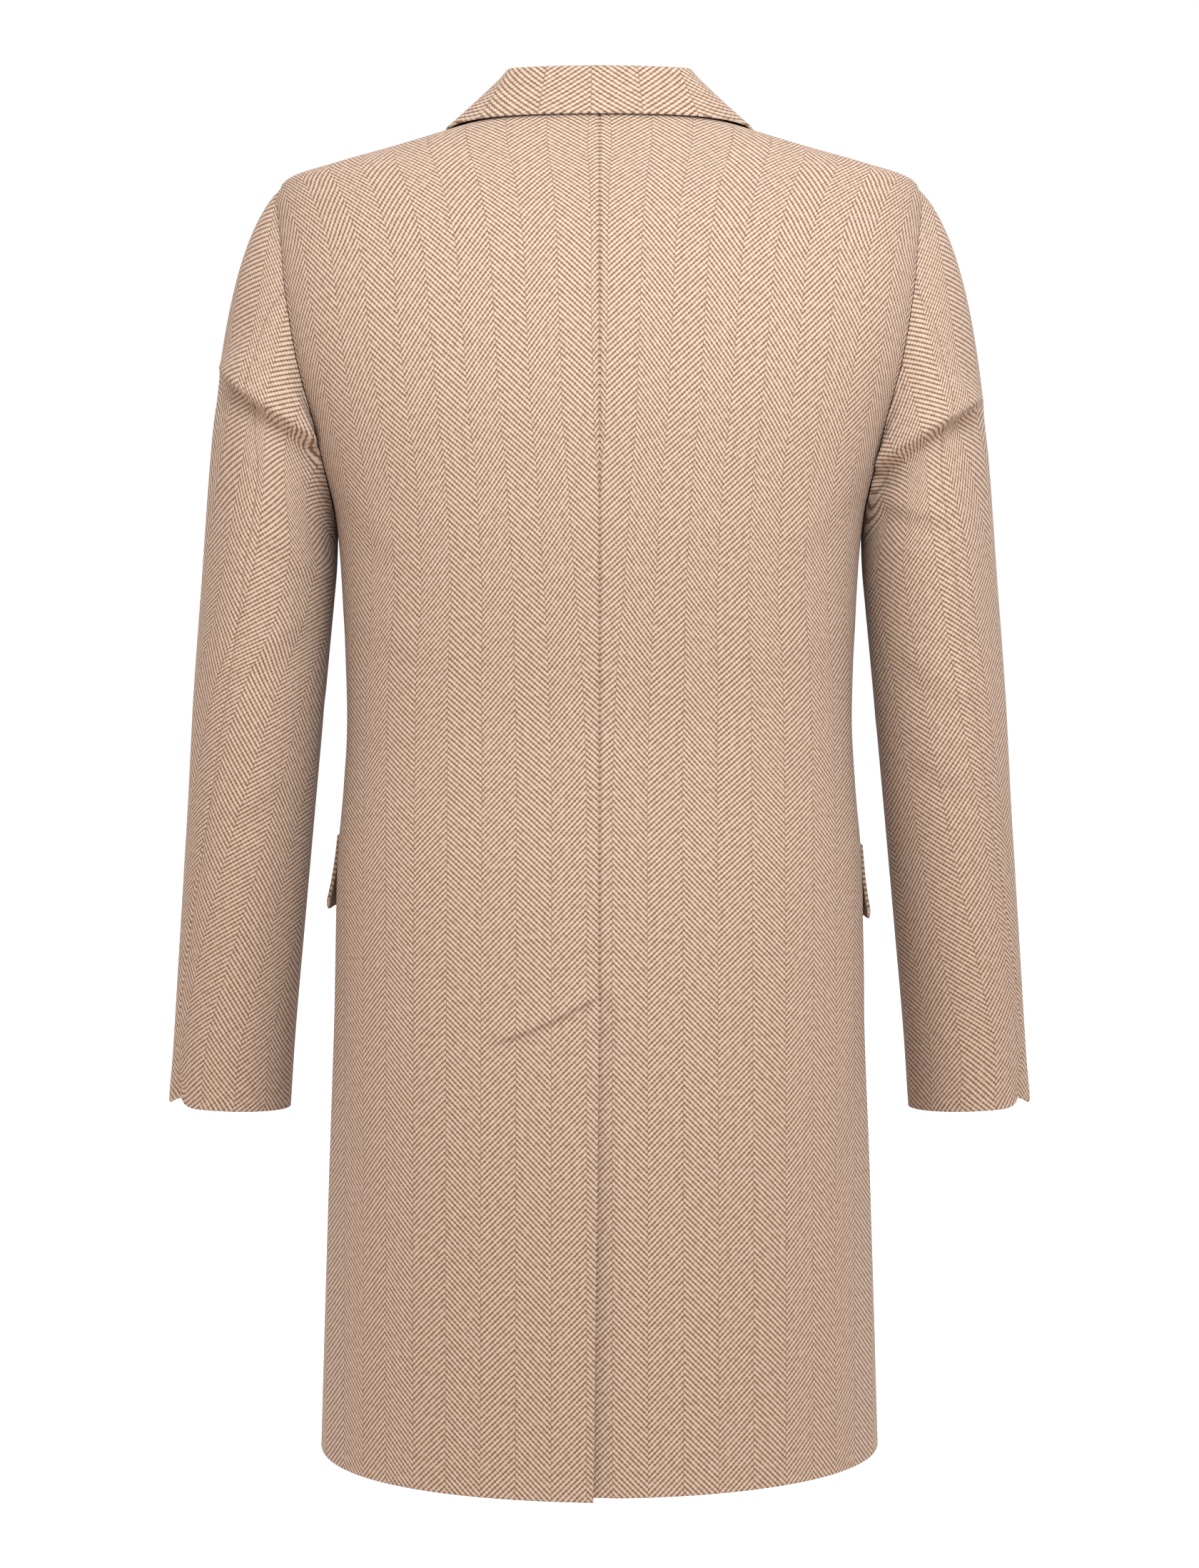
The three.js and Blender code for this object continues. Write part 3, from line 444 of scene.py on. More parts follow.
def along_crease(x, z, crease):
    """How far along a crease a place is, from 0 to 1, and how many millimetres above it."""
    run = np.hypot(crease["x1"] - crease["x0"], crease["z1"] - crease["z0"])
    way_x = (crease["x1"] - crease["x0"]) / run
    way_z = (crease["z1"] - crease["z0"]) / run
    along = ((x - crease["x0"]) * way_x + (z - crease["z0"]) * way_z) / run
    above = (z - crease["z0"]) * abs(way_x) - (x - crease["x0"]) * way_z * np.sign(way_x)
    inside = np.clip(along, 0, 1)
    return along, above + crease["sag"] * 4 * inside * (1 - inside)


def roll_and_dip(above, crease):
    """The cloth stands up above a crease and dips below it; sharp is the width of the turn."""
    turned = 1 / (1 + np.exp(-np.clip(2 * above / crease["sharp"], -40, 40)))
    roll = crease["roll"] * np.exp(-((np.maximum(above, 0) / crease["roll_width"]) ** 2))
    dip = crease["dip"] * np.exp(-((np.maximum(-above, 0) / crease["dip_width"]) ** 2))
    return turned * roll - (1 - turned) * dip


sagging = {"x0": 0, "z0": 0, "x1": 40, "z1": 0, "sag": 3}
print("in its middle, a crease with a sag of 3 runs", along_crease(20, 0, sagging)[1], "mm lower")

# %% [markdown]
# The back is two panels joined down the middle. Below the waist the seam opens into a vent: the
# left half laps over a piece that is cut on with the right half. Both come from one function.

# %% Sizes of the back and its vent
BACK_WIDTH = 230
LAYER_GAP = 0.9
SIDE_STRETCH = 1.6
SIDE_TURN = (100, 150)
HEM_FLATTENS = (0.2, 1)
CENTRE_SEAM_DEPTH = 1.6
CENTRE_SEAM_WIDTH = 1.1
VENT_TOP = -624
VENT_SLOPE_END = -652
VENT_TOP_SPAN = 12
VENT_SEAM_END = 4
UNDERLAP = 58
UNDERLAP_DIP = (9, 2)
VENT_DRIFT = 4
VENT_DRIFT_REACH = 54
VENT_LIFT = 2.6
VENT_LIFT_REACH = 16
VENT_LIFT_START = -644
VENT_LIFT_FULL = -784
ARMHOLE_ROWS = 72
SHOULDER_LENGTH = 190
FINE_COLUMNS = np.linspace(0.02, 0.34, 54)
FINE_LEVELS = np.arange(-658, -612, 1.0)


def back_level(v, drop):
    low = mix(HEM - drop, UNDERARM, v)
    high = np.where(v <= 2, mix(UNDERARM, YOKE_BACK, v - 1), mix(YOKE_BACK, 0, v - 2))
    return np.where(v <= 1, low, high)


def back_place(u, v, start_x, drop):
    edge_angle, edge_z = outer_boundary(v, 1)
    level = back_level(v, drop)
    angle = mix(angle_at(start_x, level, 1), edge_angle, u)
    hem_curve = mix(level, edge_z, u**4)
    flat_at_edge = mix(hem_curve, mix(edge_z, level, (1 - u) ** 2), ease(between(v, *HEM_FLATTENS)))
    flat_at_middle = mix(level, edge_z, u * u)
    return angle, mix(flat_at_edge, flat_at_middle, between(v, 2, 3))


print("half the back runs", BACK_WIDTH, "mm, and its vent is", VENT_TOP - HEM, "mm long")

# %% [markdown]
# The stripes don't stay parallel on the back, since its seams and the iron have shaped the cloth. So
# one table says where the first stripe's edge is and how wide a stripe looks at each height. Another
# says how fast the weft climbs, and how much it leans.

# %% The weave on the back
STRIPES_BACK = columns("z first width", [
    (0, 37, 29.5), (-13, 37, 28.8), (-60, 32, 25.5), (-105, 29, 23.3), (-147, 28, 22.4), (-184, 26.5, 21.9),
    (-221, 25.3, 21.3), (-258, 22.2, 20.9), (-334, 17, 21.3), (-404, 11.5, 23.3), (-502, 8.6, 24.1),
    (-700, 8.6, 24.1), (-956, 8.6, 24.0),
])
WEFT_BACK = columns("z rate tilt", [
    (30, 1.4, 0), (0, 1.4, 0), (-36, 1.32, 0.02), (-70, 1.12, 0.06), (-98, 0.98, 0.1), (-240, 0.95, 0.19),
    (-400, 0.97, 0.13), (-560, 1, 0.04), (-700, 1, 0), (-980, 1, 0),
])
stripe_first = curve_through(STRIPES_BACK, "z", "first")
stripe_width = curve_through(STRIPES_BACK, "z", "width")
weft_rate = curve_through(WEFT_BACK, "z", "rate")
weft_tilt = curve_through(WEFT_BACK, "z", "tilt")
weft_levels = np.linspace(WEFT_BACK["z"].min(), WEFT_BACK["z"].max(), 506)
weft_heights = np.cumsum(weft_rate(weft_levels)) * (weft_levels[1] - weft_levels[0])


def weft_height(z):
    """How far up the cloth a level is: more cloth lies in a millimetre where it slopes forward."""
    return np.interp(z, weft_levels, weft_heights)


def back_grain(points, z):
    """Where each place lies on the cloth: across the stripes, and along them."""
    step_x = np.abs(np.diff(points[..., 0], axis=1))
    step_arc = np.diff(arc_along(points, 1), axis=1)
    steps = mix(step_x, step_arc, ease(between(points[:, 1:, 0], *SIDE_TURN)))
    steps = np.minimum(steps, SIDE_STRETCH * step_x)
    run = points[:, :1, 0] + np.concatenate([np.zeros((len(steps), 1)), np.cumsum(steps, axis=1)], axis=1)
    across = (run - stripe_first(z)) / stripe_width(z) * STRIPE_WIDTH
    return np.stack([across, weft_height(z) + weft_tilt(z) * run], axis=-1)


print("a stripe looks", round(float(stripe_width(-258)), 1), "mm wide at the narrowest")

# %% [markdown]
# A slanted row of stitches holds the top of the vent, and the cloth puckers along it. The other
# creases of the back are long and shallow, left by wearing and packing.

# %% Creases of the back
VENT_TACK = {
    "x0": 5, "z0": -622, "x1": 64, "z1": -649, "sag": 1.5, "roll": 2.4, "roll_width": 12, "dip": 1.2,
    "dip_width": 6, "sharp": 1.0,
}
VENT_STITCHES = 15
STITCH_DEPTH = 1.5
STITCH_WIDTH = 0.9
STITCH_EVENNESS = 0.3
BACK_CREASES = columns("side x0 z0 x1 z1 sag roll roll_width dip dip_width sharp", [
    (1, 186, -262, 140, -322, 3, 1.5, 16, 1.3, 16, 9), (-1, 184, -258, 136, -318, 3, 1.6, 16, 1.3, 16, 9),
    (1, 178, -352, 118, -392, 4, 1.1, 20, 1.1, 20, 14), (-1, 178, -366, 112, -398, 4, 1.1, 20, 1.1, 20, 14),
    (1, 174, -446, 108, -430, 4, 1.1, 20, 1.1, 20, 14), (-1, 172, -458, 106, -446, 4, 1.2, 20, 1.1, 20, 14),
    (-1, 182, -624, 168, -740, 3, 2.0, 14, 1.8, 16, 8), (1, 180, -610, 160, -760, 3, 1.0, 18, 1.2, 18, 12),
    (1, 36, -668, 96, -760, 6, 0.9, 26, 1.0, 26, 20), (-1, 30, -650, 84, -770, 6, 0.9, 26, 1.0, 26, 20),
    (1, 118, -790, 146, -930, 4, 1.4, 26, 1.4, 26, 20), (-1, 108, -800, 136, -930, 4, 1.4, 26, 1.4, 26, 20),
    (1, 30, -120, 120, -150, 8, 0.8, 26, 0.9, 26, 22), (-1, 34, -128, 124, -142, 8, 0.8, 26, 0.9, 26, 22),
])


def vent_tack(x, z):
    """The slanted row of stitches that holds the top of the vent, and the pucker above it."""
    along, above = along_crease(x, z, VENT_TACK)
    fade = ease(between(along, -0.1, 0.05)) * ease(between(along, 1.25, 0.9))
    stitches = 1 - STITCH_EVENNESS + STITCH_EVENNESS * np.cos(along * 2 * np.pi * VENT_STITCHES)
    line = STITCH_DEPTH * np.exp(-((above / STITCH_WIDTH) ** 2)) * stitches
    return fade * (roll_and_dip(above, VENT_TACK) - line)


def soft_creases(x, z, table, side):
    """Long shallow troughs and ridges left by wearing and packing."""
    lift = np.zeros(np.shape(x))
    for crease in table_rows(table):
        if crease["side"] == side:
            along, above = along_crease(x, z, crease)
            fade = ease(between(along, -0.25, 0.3)) * ease(between(along, 1.25, 0.7))
            lift += fade * roll_and_dip(above, crease)
    return lift


print("creases on the back:", len(BACK_CREASES["side"]))

# %% [markdown]
# Each half of the back takes its outer edge from the shared seams. The left half has a finer grid
# round the top of the vent, because a coarse one would blur its stitches.

# %% Back panels
def boundary_rows():
    """Rows of a body panel from the hem, past the armhole, to the neck."""
    skirt = shares(UNDERARM - HEM, end=False)
    hole = 1 + np.linspace(0, 1, ARMHOLE_ROWS)
    top = 2 + shares(SHOULDER_LENGTH, start=False)
    return np.concatenate([skirt[:-1], hole[:-1], top])


def side_seam_depth(v):
    """A body panel's outer seam is drawn in less along the armhole, from v 1 to 2."""
    at_hole = ease(between(v, 0.97, 1.02)) * ease(between(v, 2.03, 1.98))
    return mix(SEAM_DRAWN_IN, ARMHOLE_DRAWN_IN, at_hole)


def back_panel(name, node, is_under):
    drop = 0 if is_under else HEM_DROP_LEFT
    across = shares(BACK_WIDTH)
    down = boundary_rows()
    if not is_under:
        across = np.union1d(across, FINE_COLUMNS)
        down = np.union1d(down, between(FINE_LEVELS, HEM - drop, UNDERARM))
    u, v = np.meshgrid(across, down)
    past = (UNDERLAP if is_under else 0) * between(back_level(v, drop), VENT_TOP, VENT_SLOPE_END)
    angle, z = back_place(u, v, -past, drop)
    points = body_point(angle, z)
    normals = body_normal(angle, z)
    x = points[..., 0].copy()
    if is_under:
        sink = ease(between(x, *UNDERLAP_DIP)) * between(z, VENT_TOP + VENT_TOP_SPAN, VENT_TOP)
        points -= normals * ((CLOTH + LAYER_GAP) * sink)[..., None]
    else:
        points[..., 0] += VENT_DRIFT * between(z, VENT_TOP, HEM) * between(x, VENT_DRIFT_REACH, 0)
        opened = ease(between(z, VENT_LIFT_START, VENT_LIFT_FULL))
        lift = VENT_LIFT * opened * np.exp(-x / VENT_LIFT_REACH)
        points += normals * (lift + vent_tack(x, z))[..., None]
    points += normals * soft_creases(x, z, BACK_CREASES, -1 if is_under else 1)[..., None]
    grain = back_grain(points, z)
    seams = {"end": side_seam_depth(v)}
    above_vent = between(z, VENT_TOP - VENT_SEAM_END, VENT_TOP + VENT_SEAM_END)
    away = np.linalg.norm(points - points[:, :1], axis=-1)
    centre_seam = above_vent * CENTRE_SEAM_DEPTH * np.exp(-((away / CENTRE_SEAM_WIDTH) ** 2))
    points -= normals * centre_seam[..., None]
    if is_under:
        points, normals = mirror(points, normals)
    panel(name, [node], points, normals, grain, seams, ["first"])


back_panel("cloth_back_left", "back_left", False)
back_panel("cloth_back_right", "back_right", True)

# %% [markdown]
# The fronts overlap: the left one is lifted off the right one by the thickness that lies beneath.
# The photograph hides them, so they get soft creases like the back's, clear of the lap.

# %% Front panels
FRONT_WIDTH = 290
FRONT_EDGE = 85
BREAK = -290
ROLL_TOP_X = 60
ROLL_TOP_Z = -30
ROLL_MIDDLE = -112
FRONT_BEND = 2.2
CAD_CLOTH = 2.0
CAD_LAYER_GAP = 0.7
LAPEL_ROOM = 4.8
LAP_ENDS = (132, 96)
LAP_STARTS = (-60, -125)
LAPEL_TOP = (-62, -118)
LAPEL_FOOT = (-350, -298)
CREASES_START = (96, 122)


def roll_line(t):
    return mix(ROLL_TOP_X, -FRONT_EDGE, t), mix(ROLL_TOP_Z, BREAK, t)


def front_inner(v):
    middle = (ROLL_TOP_Z - ROLL_MIDDLE) / (ROLL_TOP_Z - BREAK)
    t = np.where(v <= 2, mix(1, middle, v - 1), mix(middle, 0, v - 2))
    x, z = roll_line(t)
    return np.where(v <= 1, -FRONT_EDGE, x), np.where(v <= 1, mix(HEM, BREAK, v), z)


def front_place(u, v):
    edge_angle, edge_z = outer_boundary(v, -1)
    x, z = front_inner(v)
    bend = 1 + FRONT_BEND * ease(between(v, 1, 3))
    return mix(edge_angle, angle_at(x, z, -1), u), mix(edge_z, z, u**bend)


def lap_lift(x, z):
    across = ease(between(x, *LAP_ENDS)) * ease(between(z, *LAP_STARTS))
    over_lapel = ease(between(z, *LAPEL_TOP)) * ease(between(z, *LAPEL_FOOT))
    return across * (CAD_CLOTH + CAD_LAYER_GAP + LAPEL_ROOM * over_lapel)


def on_front(angle, z, is_over, lift):
    base = body_point(angle, z)
    rise = lift + (lap_lift(base[..., 0], z) if is_over else 0)
    normal = body_normal(angle, z)
    return base + normal * (np.zeros_like(base[..., 0]) + rise)[..., None]


def on_front_normal(angle, z, is_over):
    return normal_of(lambda a, b: on_front(a, b, is_over, 0), angle, z, 0.4, 1.2)


FRONT_CREASES = columns("side x0 z0 x1 z1 sag roll roll_width dip dip_width sharp", [
    (1, 184, -296, 126, -346, 4, 1.6, 18, 1.5, 18, 10), (-1, 182, -290, 128, -352, 4, 1.5, 18, 1.5, 18, 10),
    (1, 178, -412, 122, -396, 4, 1.3, 20, 1.3, 20, 13), (-1, 176, -430, 124, -408, 4, 1.3, 20, 1.3, 20, 13),
    (1, 158, -650, 170, -790, 3, 1.5, 18, 1.5, 18, 12), (-1, 150, -664, 166, -810, 3, 1.5, 18, 1.5, 18, 12),
    (1, 128, -760, 146, -920, 4, 1.4, 22, 1.4, 22, 16), (-1, 124, -780, 138, -930, 4, 1.4, 22, 1.4, 22, 16),
])


def front_panel(name, node, is_over):
    u, v = np.meshgrid(shares(FRONT_WIDTH), boundary_rows())
    angle, z = front_place(u, v)
    points = on_front(angle, z, is_over, 0)
    normals = on_front_normal(angle, z, is_over)
    clear_of_lap = ease(between(points[..., 0], *CREASES_START))
    lift = clear_of_lap * soft_creases(points[..., 0], z, FRONT_CREASES, 1 if is_over else -1)
    points = points + normals * lift[..., None]
    run = arc_along(points, 1)
    grain = np.stack([run[:, -1:] - run, arc_along(points, 0)], axis=-1)
    if not is_over:
        points, normals = mirror(points, normals)
    panel(name, [node], points, normals, grain, {"start": side_seam_depth(v)}, ["first", "end"])


front_panel("cloth_front_left", "front_left", True)
front_panel("cloth_front_right", "front_right", False)

# %% [markdown]
# A sleeve hangs from the whole armhole and turns down over the shoulder. Its cap could be sculpted,
# but a bundle of curves, one for each direction round the arm, keeps the seam exactly on the armhole.

# %% Sleeves
SLEEVE = columns("z outer inner middle depth", [
    (-325, 288, 191.6, -2, 73), (-408, 294.5, 199.6, -5, 69), (-491, 299.8, 207.8, -12, 65),
    (-575, 306.5, 216.2, -23, 60.5), (-660, 313.5, 224.8, -37, 57), (-713, 317.5, 229, -45, 56),
])
CAP = columns("turn out_x out_y down reach", [
    (0, 146, 0, 146, 286), (45, 100, 34, 116, 235), (90, 66, 34, 84, 150), (135, 22, 14, 58, 80),
    (180, 1, 0, 36, 36), (225, 22, -14, 58, 80), (270, 66, -34, 84, 150), (315, 100, -34, 116, 235),
    (360, 146, 0, 146, 286),
])
HINDARM = columns("s turn", [(0, 72), (1, 76), (1.35, 62), (2, 17)])
FOREARM = columns("s turn", [(0, 252), (1, 238), (2, 212)])
SLEEVE_TOP = -325
CUFF = -708.5
CUFF_SLANT = 4.5
CAP_GAP_TOP = 0.12
CAP_GAP_SIDE = 0.03
ring_outer, ring_inner, ring_middle, ring_depth = (
    curve_through(SLEEVE, "z", name) for name in ("outer", "inner", "middle", "depth"))
cap_out_x, cap_out_y, cap_down, cap_reach = (
    curve_through(CAP, "turn", name) for name in ("out_x", "out_y", "down", "reach"))
hindarm = curve_through(HINDARM, "s", "turn")
forearm = curve_through(FOREARM, "s", "turn")


def ring_point(turn, z):
    centre = (ring_outer(z) + ring_inner(z)) / 2
    half = (ring_outer(z) - ring_inner(z)) / 2
    c = np.cos(np.radians(turn))
    s = np.sin(np.radians(turn))
    return np.stack([centre + half * c, ring_middle(z) + ring_depth(z) * s, z + 0 * c], axis=-1)


def cuff_at(turn):
    """The height of the cuff: it is cut a little longer towards the body."""
    return CUFF - CUFF_SLANT * (1 - np.cos(np.radians(turn))) / 2


def cap_start(turn):
    angle, z = armhole_at(turn)
    around = np.mod(turn, 360)
    leave = np.stack([cap_out_x(around), cap_out_y(around), -cap_down(around)], axis=-1)
    at_top = ease(between(np.cos(np.radians(turn)), 0.2, 0.8))
    away = unit(body_normal(angle, z) * (1 - at_top)[..., None] + unit(leave))
    return body_point(angle, z) + away * mix(CAP_GAP_SIDE, CAP_GAP_TOP, at_top)[..., None], leave


def plain_sleeve(turn, s):
    """Sleeve surface: s is 0 at the armhole, 1 level with the armpit and 2 at the cuff."""
    t = np.clip(s, None, 1)[..., None]
    start, leave = cap_start(turn)
    top = np.full(np.shape(turn), float(SLEEVE_TOP))
    end = ring_point(turn, top)
    arrive = (ring_point(turn, top - 1) - end) * cap_reach(np.mod(turn, 360))[..., None]
    cap = (1 + 2 * t) * (1 - t) ** 2 * start + t * (1 - t) ** 2 * leave
    cap = cap + t * t * (3 - 2 * t) * end + t * t * (t - 1) * arrive
    arm = ring_point(turn, mix(SLEEVE_TOP, cuff_at(turn), np.clip(s, 1, None) - 1))
    return np.where((s > 1)[..., None], arm, cap)


print("below the armpit the sleeve is", SLEEVE_TOP - CUFF, "mm long")

# %% [markdown]
# The photographed sleeves have settled: the cloth of the cap sags over the arm and rolls over a
# sharp crease that runs down and in from the outer edge to the armhole. Softer ones cross the elbow.

# %% Drag folds and drawn creases
DRAG_FOLDS = columns("side face x0 z0 x1 z1 sag roll roll_width dip dip_width sharp", [
    (1, 1, 270, -179, 197, -238, 4, 8.5, 26, 5.5, 17, 1.7),
    (-1, 1, 270, -203, 190, -257, 1, 8, 24, 5.5, 17, 1.9),
    (-1, 1, 244, -292, 200, -276, 2, 2.2, 12, 2.2, 14, 6),
    (1, 1, 236, -300, 200, -330, 2, 1.6, 12, 1.6, 14, 6),
    (1, -1, 268, -192, 197, -246, 3, 5, 20, 4, 15, 2.5),
    (-1, -1, 270, -182, 196, -236, 3, 5, 20, 4, 15, 2.5),
    (1, 1, 262, -402, 210, -360, 5, 1.4, 16, 1.6, 18, 8),
    (-1, 1, 268, -420, 214, -385, 5, 1.4, 16, 1.6, 18, 8),
    (1, 1, 226, -470, 262, -500, 4, 1.2, 16, 1.4, 18, 8),
    (-1, 1, 224, -455, 266, -480, 4, 1.2, 16, 1.4, 18, 8),
    (1, -1, 262, -430, 212, -398, 5, 2, 16, 2, 18, 7),
    (-1, -1, 262, -415, 212, -440, 5, 2, 16, 2, 18, 7),
])


def fold_lift(points, side):
    """How far the folds lift each place of a sleeve off its plain surface."""
    lift = np.zeros(points.shape[:-1])
    for crease in table_rows(DRAG_FOLDS):
        if crease["side"] == side:
            facing = ease(between(points[..., 1] * crease["face"], -12, 26))
            along, above = along_crease(points[..., 0], points[..., 2], crease)
            fade = ease(between(along, -0.12, 0.15)) * ease(between(along, 1.12, 0.92))
            lift += facing * fade * roll_and_dip(above, crease)
    return lift


def sleeve_normal(surface, turn, s):
    """The outward way of a sleeve; at its two ends it is taken from just inside them."""
    return -normal_of(surface, turn, np.clip(s, 0.004, 1.997), 0.5, 0.003)


def sleeve_surface(side):
    def surface(turn, s):
        plain = plain_sleeve(turn, s)
        normal = sleeve_normal(plain_sleeve, turn, s)
        lift = ease(between(s, 0, 0.12)) * fold_lift(plain, side)
        return plain + normal * lift[..., None]
    return surface


print("creases on the sleeves:", len(DRAG_FOLDS["side"]))

# %% [markdown]
# Each sleeve ends in a short vent on its hindarm seam. The under sleeve's edge curves away and its
# corner is rounded. The top sleeve's edge stands out behind it and ends in a blunt point.

# %% The vents of the cuffs
SEAM_SWING = columns("s degrees", [(0, 0), (0.25, -4), (0.42, -4), (0.62, 9), (0.8, 6), (1, 0), (2, 0)])
SLEEVE_WIDTH = 150
CUFF_VENT_OPENS = 0.84
CUFF_VENT_CURVE = 1.5
CUFF_VENT_CORNERS = (1.9, 2)
UNDER_SHIFT = 26
UNDER_SHIFT_REACH = 0.2
UNDER_CORNER = 28
UNDER_CORNER_RISE = 11
TOP_SHIFT = 24.7
TOP_SHIFT_REACH = 0.15
TOP_STANDS_OUT = 2
TOP_BULGE_AT = 0.18
TOP_BULGE_WIDTH = 0.1
TOP_TUCKED_IN = 4.5
TOP_TUCK_WIDTH = 0.06
TOP_TIP_RISE = 6
TOP_TIP_WIDTH = 0.12
seam_swing = curve_through(SEAM_SWING, "s", "degrees")


def hindarm_seam(s):
    return hindarm(s) + seam_swing(s)


def cuff_vent(turn, s, share, is_under):
    """Near the cuff the vent's edges leave the seam line: the turn, the rise and the way out."""
    low = between(s, 1 + CUFF_VENT_OPENS, 1.98) ** CUFF_VENT_CURVE
    at_end = ease(between(s, *CUFF_VENT_CORNERS))
    away = share if is_under else 1 - share
    if is_under:
        short = np.clip(1 - away * SLEEVE_WIDTH / UNDER_CORNER, 0, None)
        rise = UNDER_CORNER_RISE * (1 - np.sqrt(1 - short**2)) * at_end
        return turn + UNDER_SHIFT * low * np.exp(-away / UNDER_SHIFT_REACH), rise, 0 * s
    rise = TOP_TIP_RISE * ease(between(away, TOP_TIP_WIDTH, 0)) * at_end
    out = TOP_STANDS_OUT * np.exp(-(((away - TOP_BULGE_AT) / TOP_BULGE_WIDTH) ** 2))
    out = out - TOP_TUCKED_IN * np.exp(-away / TOP_TUCK_WIDTH)
    return turn + TOP_SHIFT * low * np.exp(-away / TOP_SHIFT_REACH), rise, out * low


def closed(s):
    """One where the hindarm seam is sewn, and none below, where the vent is open."""
    return ease(between(s, 1 + CUFF_VENT_OPENS + 0.04, 1 + CUFF_VENT_OPENS - 0.02))


print("a cuff's vent is", round((1 - CUFF_VENT_OPENS) * (SLEEVE_TOP - CUFF)), "mm long")

# %% [markdown]
# A sleeve hangs forward and out, so its stripes slant. A table says where one edge of a stripe is at
# each height of the left and the right sleeve, and how far the weft tilts there.

# %% The weave on the sleeves
SLEEVE_STRETCH = 1.6
SLEEVE_STRIPE = 25.5
WEFT_PIVOT = 200
WEFT_REACH = (170, 292)
SLEEVE_STRIPES = columns("z left right tilt", [
    (-20, 160, 168, 0.7), (-130, 168, 176, 0.7), (-225, 178, 190, 0.6), (-306, 188.6, 208.5, 0.3),
    (-362, 203.7, 217.5, 0.27), (-404, 223.5, 225, 0.27), (-490, 251.3, 241, 0.25),
    (-624, 288.5, 267, 0.22), (-662, 299, 275, 0.2), (-710, 310, 281, 0.14),
])


def sleeve_grain(turn, s, is_under, stripe_column):
    """Where each place lies on the cloth of a sleeve: across the stripes, and along them."""
    points = plain_sleeve(turn, s)
    normals = sleeve_normal(plain_sleeve, turn, s)
    step_x = np.abs(np.diff(points[..., 0], axis=1))
    step_arc = np.diff(arc_along(points, 1), axis=1)
    behind = ease(between(normals[:, 1:, 1], -0.1, 0.2))
    steps = mix(step_arc, np.minimum(step_arc, SLEEVE_STRETCH * step_x), behind)
    run = np.concatenate([np.zeros((len(steps), 1)), np.cumsum(steps, axis=1)], axis=1)
    if is_under:
        x = points[:, :1, 0] - run
    else:
        x = points[:, -1:, 0] + run[:, -1:] - run
    z = points[..., 2]
    edge = curve_through(SLEEVE_STRIPES, "z", stripe_column)(z)
    tilt = curve_through(SLEEVE_STRIPES, "z", "tilt")(z)
    across = (x - edge) / SLEEVE_STRIPE * STRIPE_WIDTH + STRIPE_WIDTH
    lean = tilt * (np.clip(x, *WEFT_REACH) - WEFT_PIVOT)
    return np.stack([across, z - lean], axis=-1)


print("stripes on the sleeves look", SLEEVE_STRIPE, "mm wide")

# %% [markdown]
# A sleeve is cut as a top and an under panel, sewn along the hindarm and the forearm. One tube would
# be simpler, but it would have no seams, so each panel is made on its own and drawn in at its edges.

# %% Sleeve panels
CAP_LENGTH = 330
ARM_LENGTH = 390
CAP_GRID = 1.9
ARM_GRID = 3.2
ARM_ROWS = shares(ARM_LENGTH, ARM_GRID, start=False)[1:]


def sleeve_panel(label, side, first_turn, last_turn, is_under):
    cap_rows = shares(CAP_LENGTH, CAP_GRID, end=False)
    share, s = np.meshgrid(shares(SLEEVE_WIDTH, CAP_GRID), np.concatenate([cap_rows, 1 + ARM_ROWS]))
    turn, rise, stands_out = cuff_vent(mix(first_turn(s), last_turn(s), share), s, share, is_under)
    surface = sleeve_surface(side)
    points = surface(turn, s)
    normals = sleeve_normal(surface, turn, s)
    points = points + normals * stands_out[..., None]
    points[..., 2] += rise
    grain = sleeve_grain(turn, s, is_under, label)
    if side < 0:
        points, normals = mirror(points, normals)
    hindarm_side, forearm_side = ("start", "end") if is_under else ("end", "start")
    seams = {hindarm_side: SEAM_DRAWN_IN * closed(s), forearm_side: SEAM_DRAWN_IN}
    seams["first"] = ARMHOLE_DRAWN_IN
    node = f"sleeve_{'under' if is_under else 'top'}_{label}"
    panel("cloth_" + node, [node], points, normals, grain, seams, ["last"])


def forearm_before(s):
    return forearm(s) - 360


for label, side in (("left", 1), ("right", -1)):
    sleeve_panel(label, side, forearm_before, hindarm_seam, False)
    sleeve_panel(label, side, hindarm_seam, forearm, True)

# %% [markdown]
# The collar is cut in two: a stand that rises round the neck, and a fall that turns over it. The
# fall is the piece that shows. It could be a strip bent with a modifier, but the fold line changes
# height and lean on its way to the lapel, so its arc is worked out at each place along the neck.

# %% The seam and the fold of the collar
STAND = columns("u height lean", [
    (0, 36.5, 9), (0.5, 36.5, 13), (0.78, 35, 19.6), (1, 32, 24), (1.5, 21, 12.5), (2, 4.6, 0),
])
COLLAR_LIES_DOWN = (1.35, 2)
FOLDED_CLOTH = 2.2
FOLD_ROWS = 9
NECK_ROWS = 40
NECK_FRONT = 130
STAND_TUCK = 4
STAND_FOOT = 0.6
STAND_ENDS = (1.8, 1.3)
STAND_FACES_IN = (0, 0.67)
STAND_INSET = 1.9
STAND_ROOM = 1.1
FALL_EDGE_BACK = -1.5
FALL_EDGE_SIDE = -2.6
FALL_LIFT = 4.6
FALL_LIFT_BACK = 3.1
FALL_RISES = (1.1, 1.5)
FALL_HUGS = (1.2, 1.75)
FALL_EDGE_CURVE = 1.7
FALL_BOW = -1
FALL_DEPTH = 44
FALL_GRID = 3
GORGE_STARTS = (1.62, 2)
FOLD_RADIUS = 3.3
FALL_ARC_LEAF = 35
FALL_ARC_STAND = 180
NOTCH_X, NOTCH_Z = 110, -68
COLLAR_POINT_X, COLLAR_POINT_Z = 134, -33
COLLAR_NOTCH_SHARE = 0.6
COLLAR_STRETCH = 1.42
COLLAR_STRIPE_SHIFT = 4
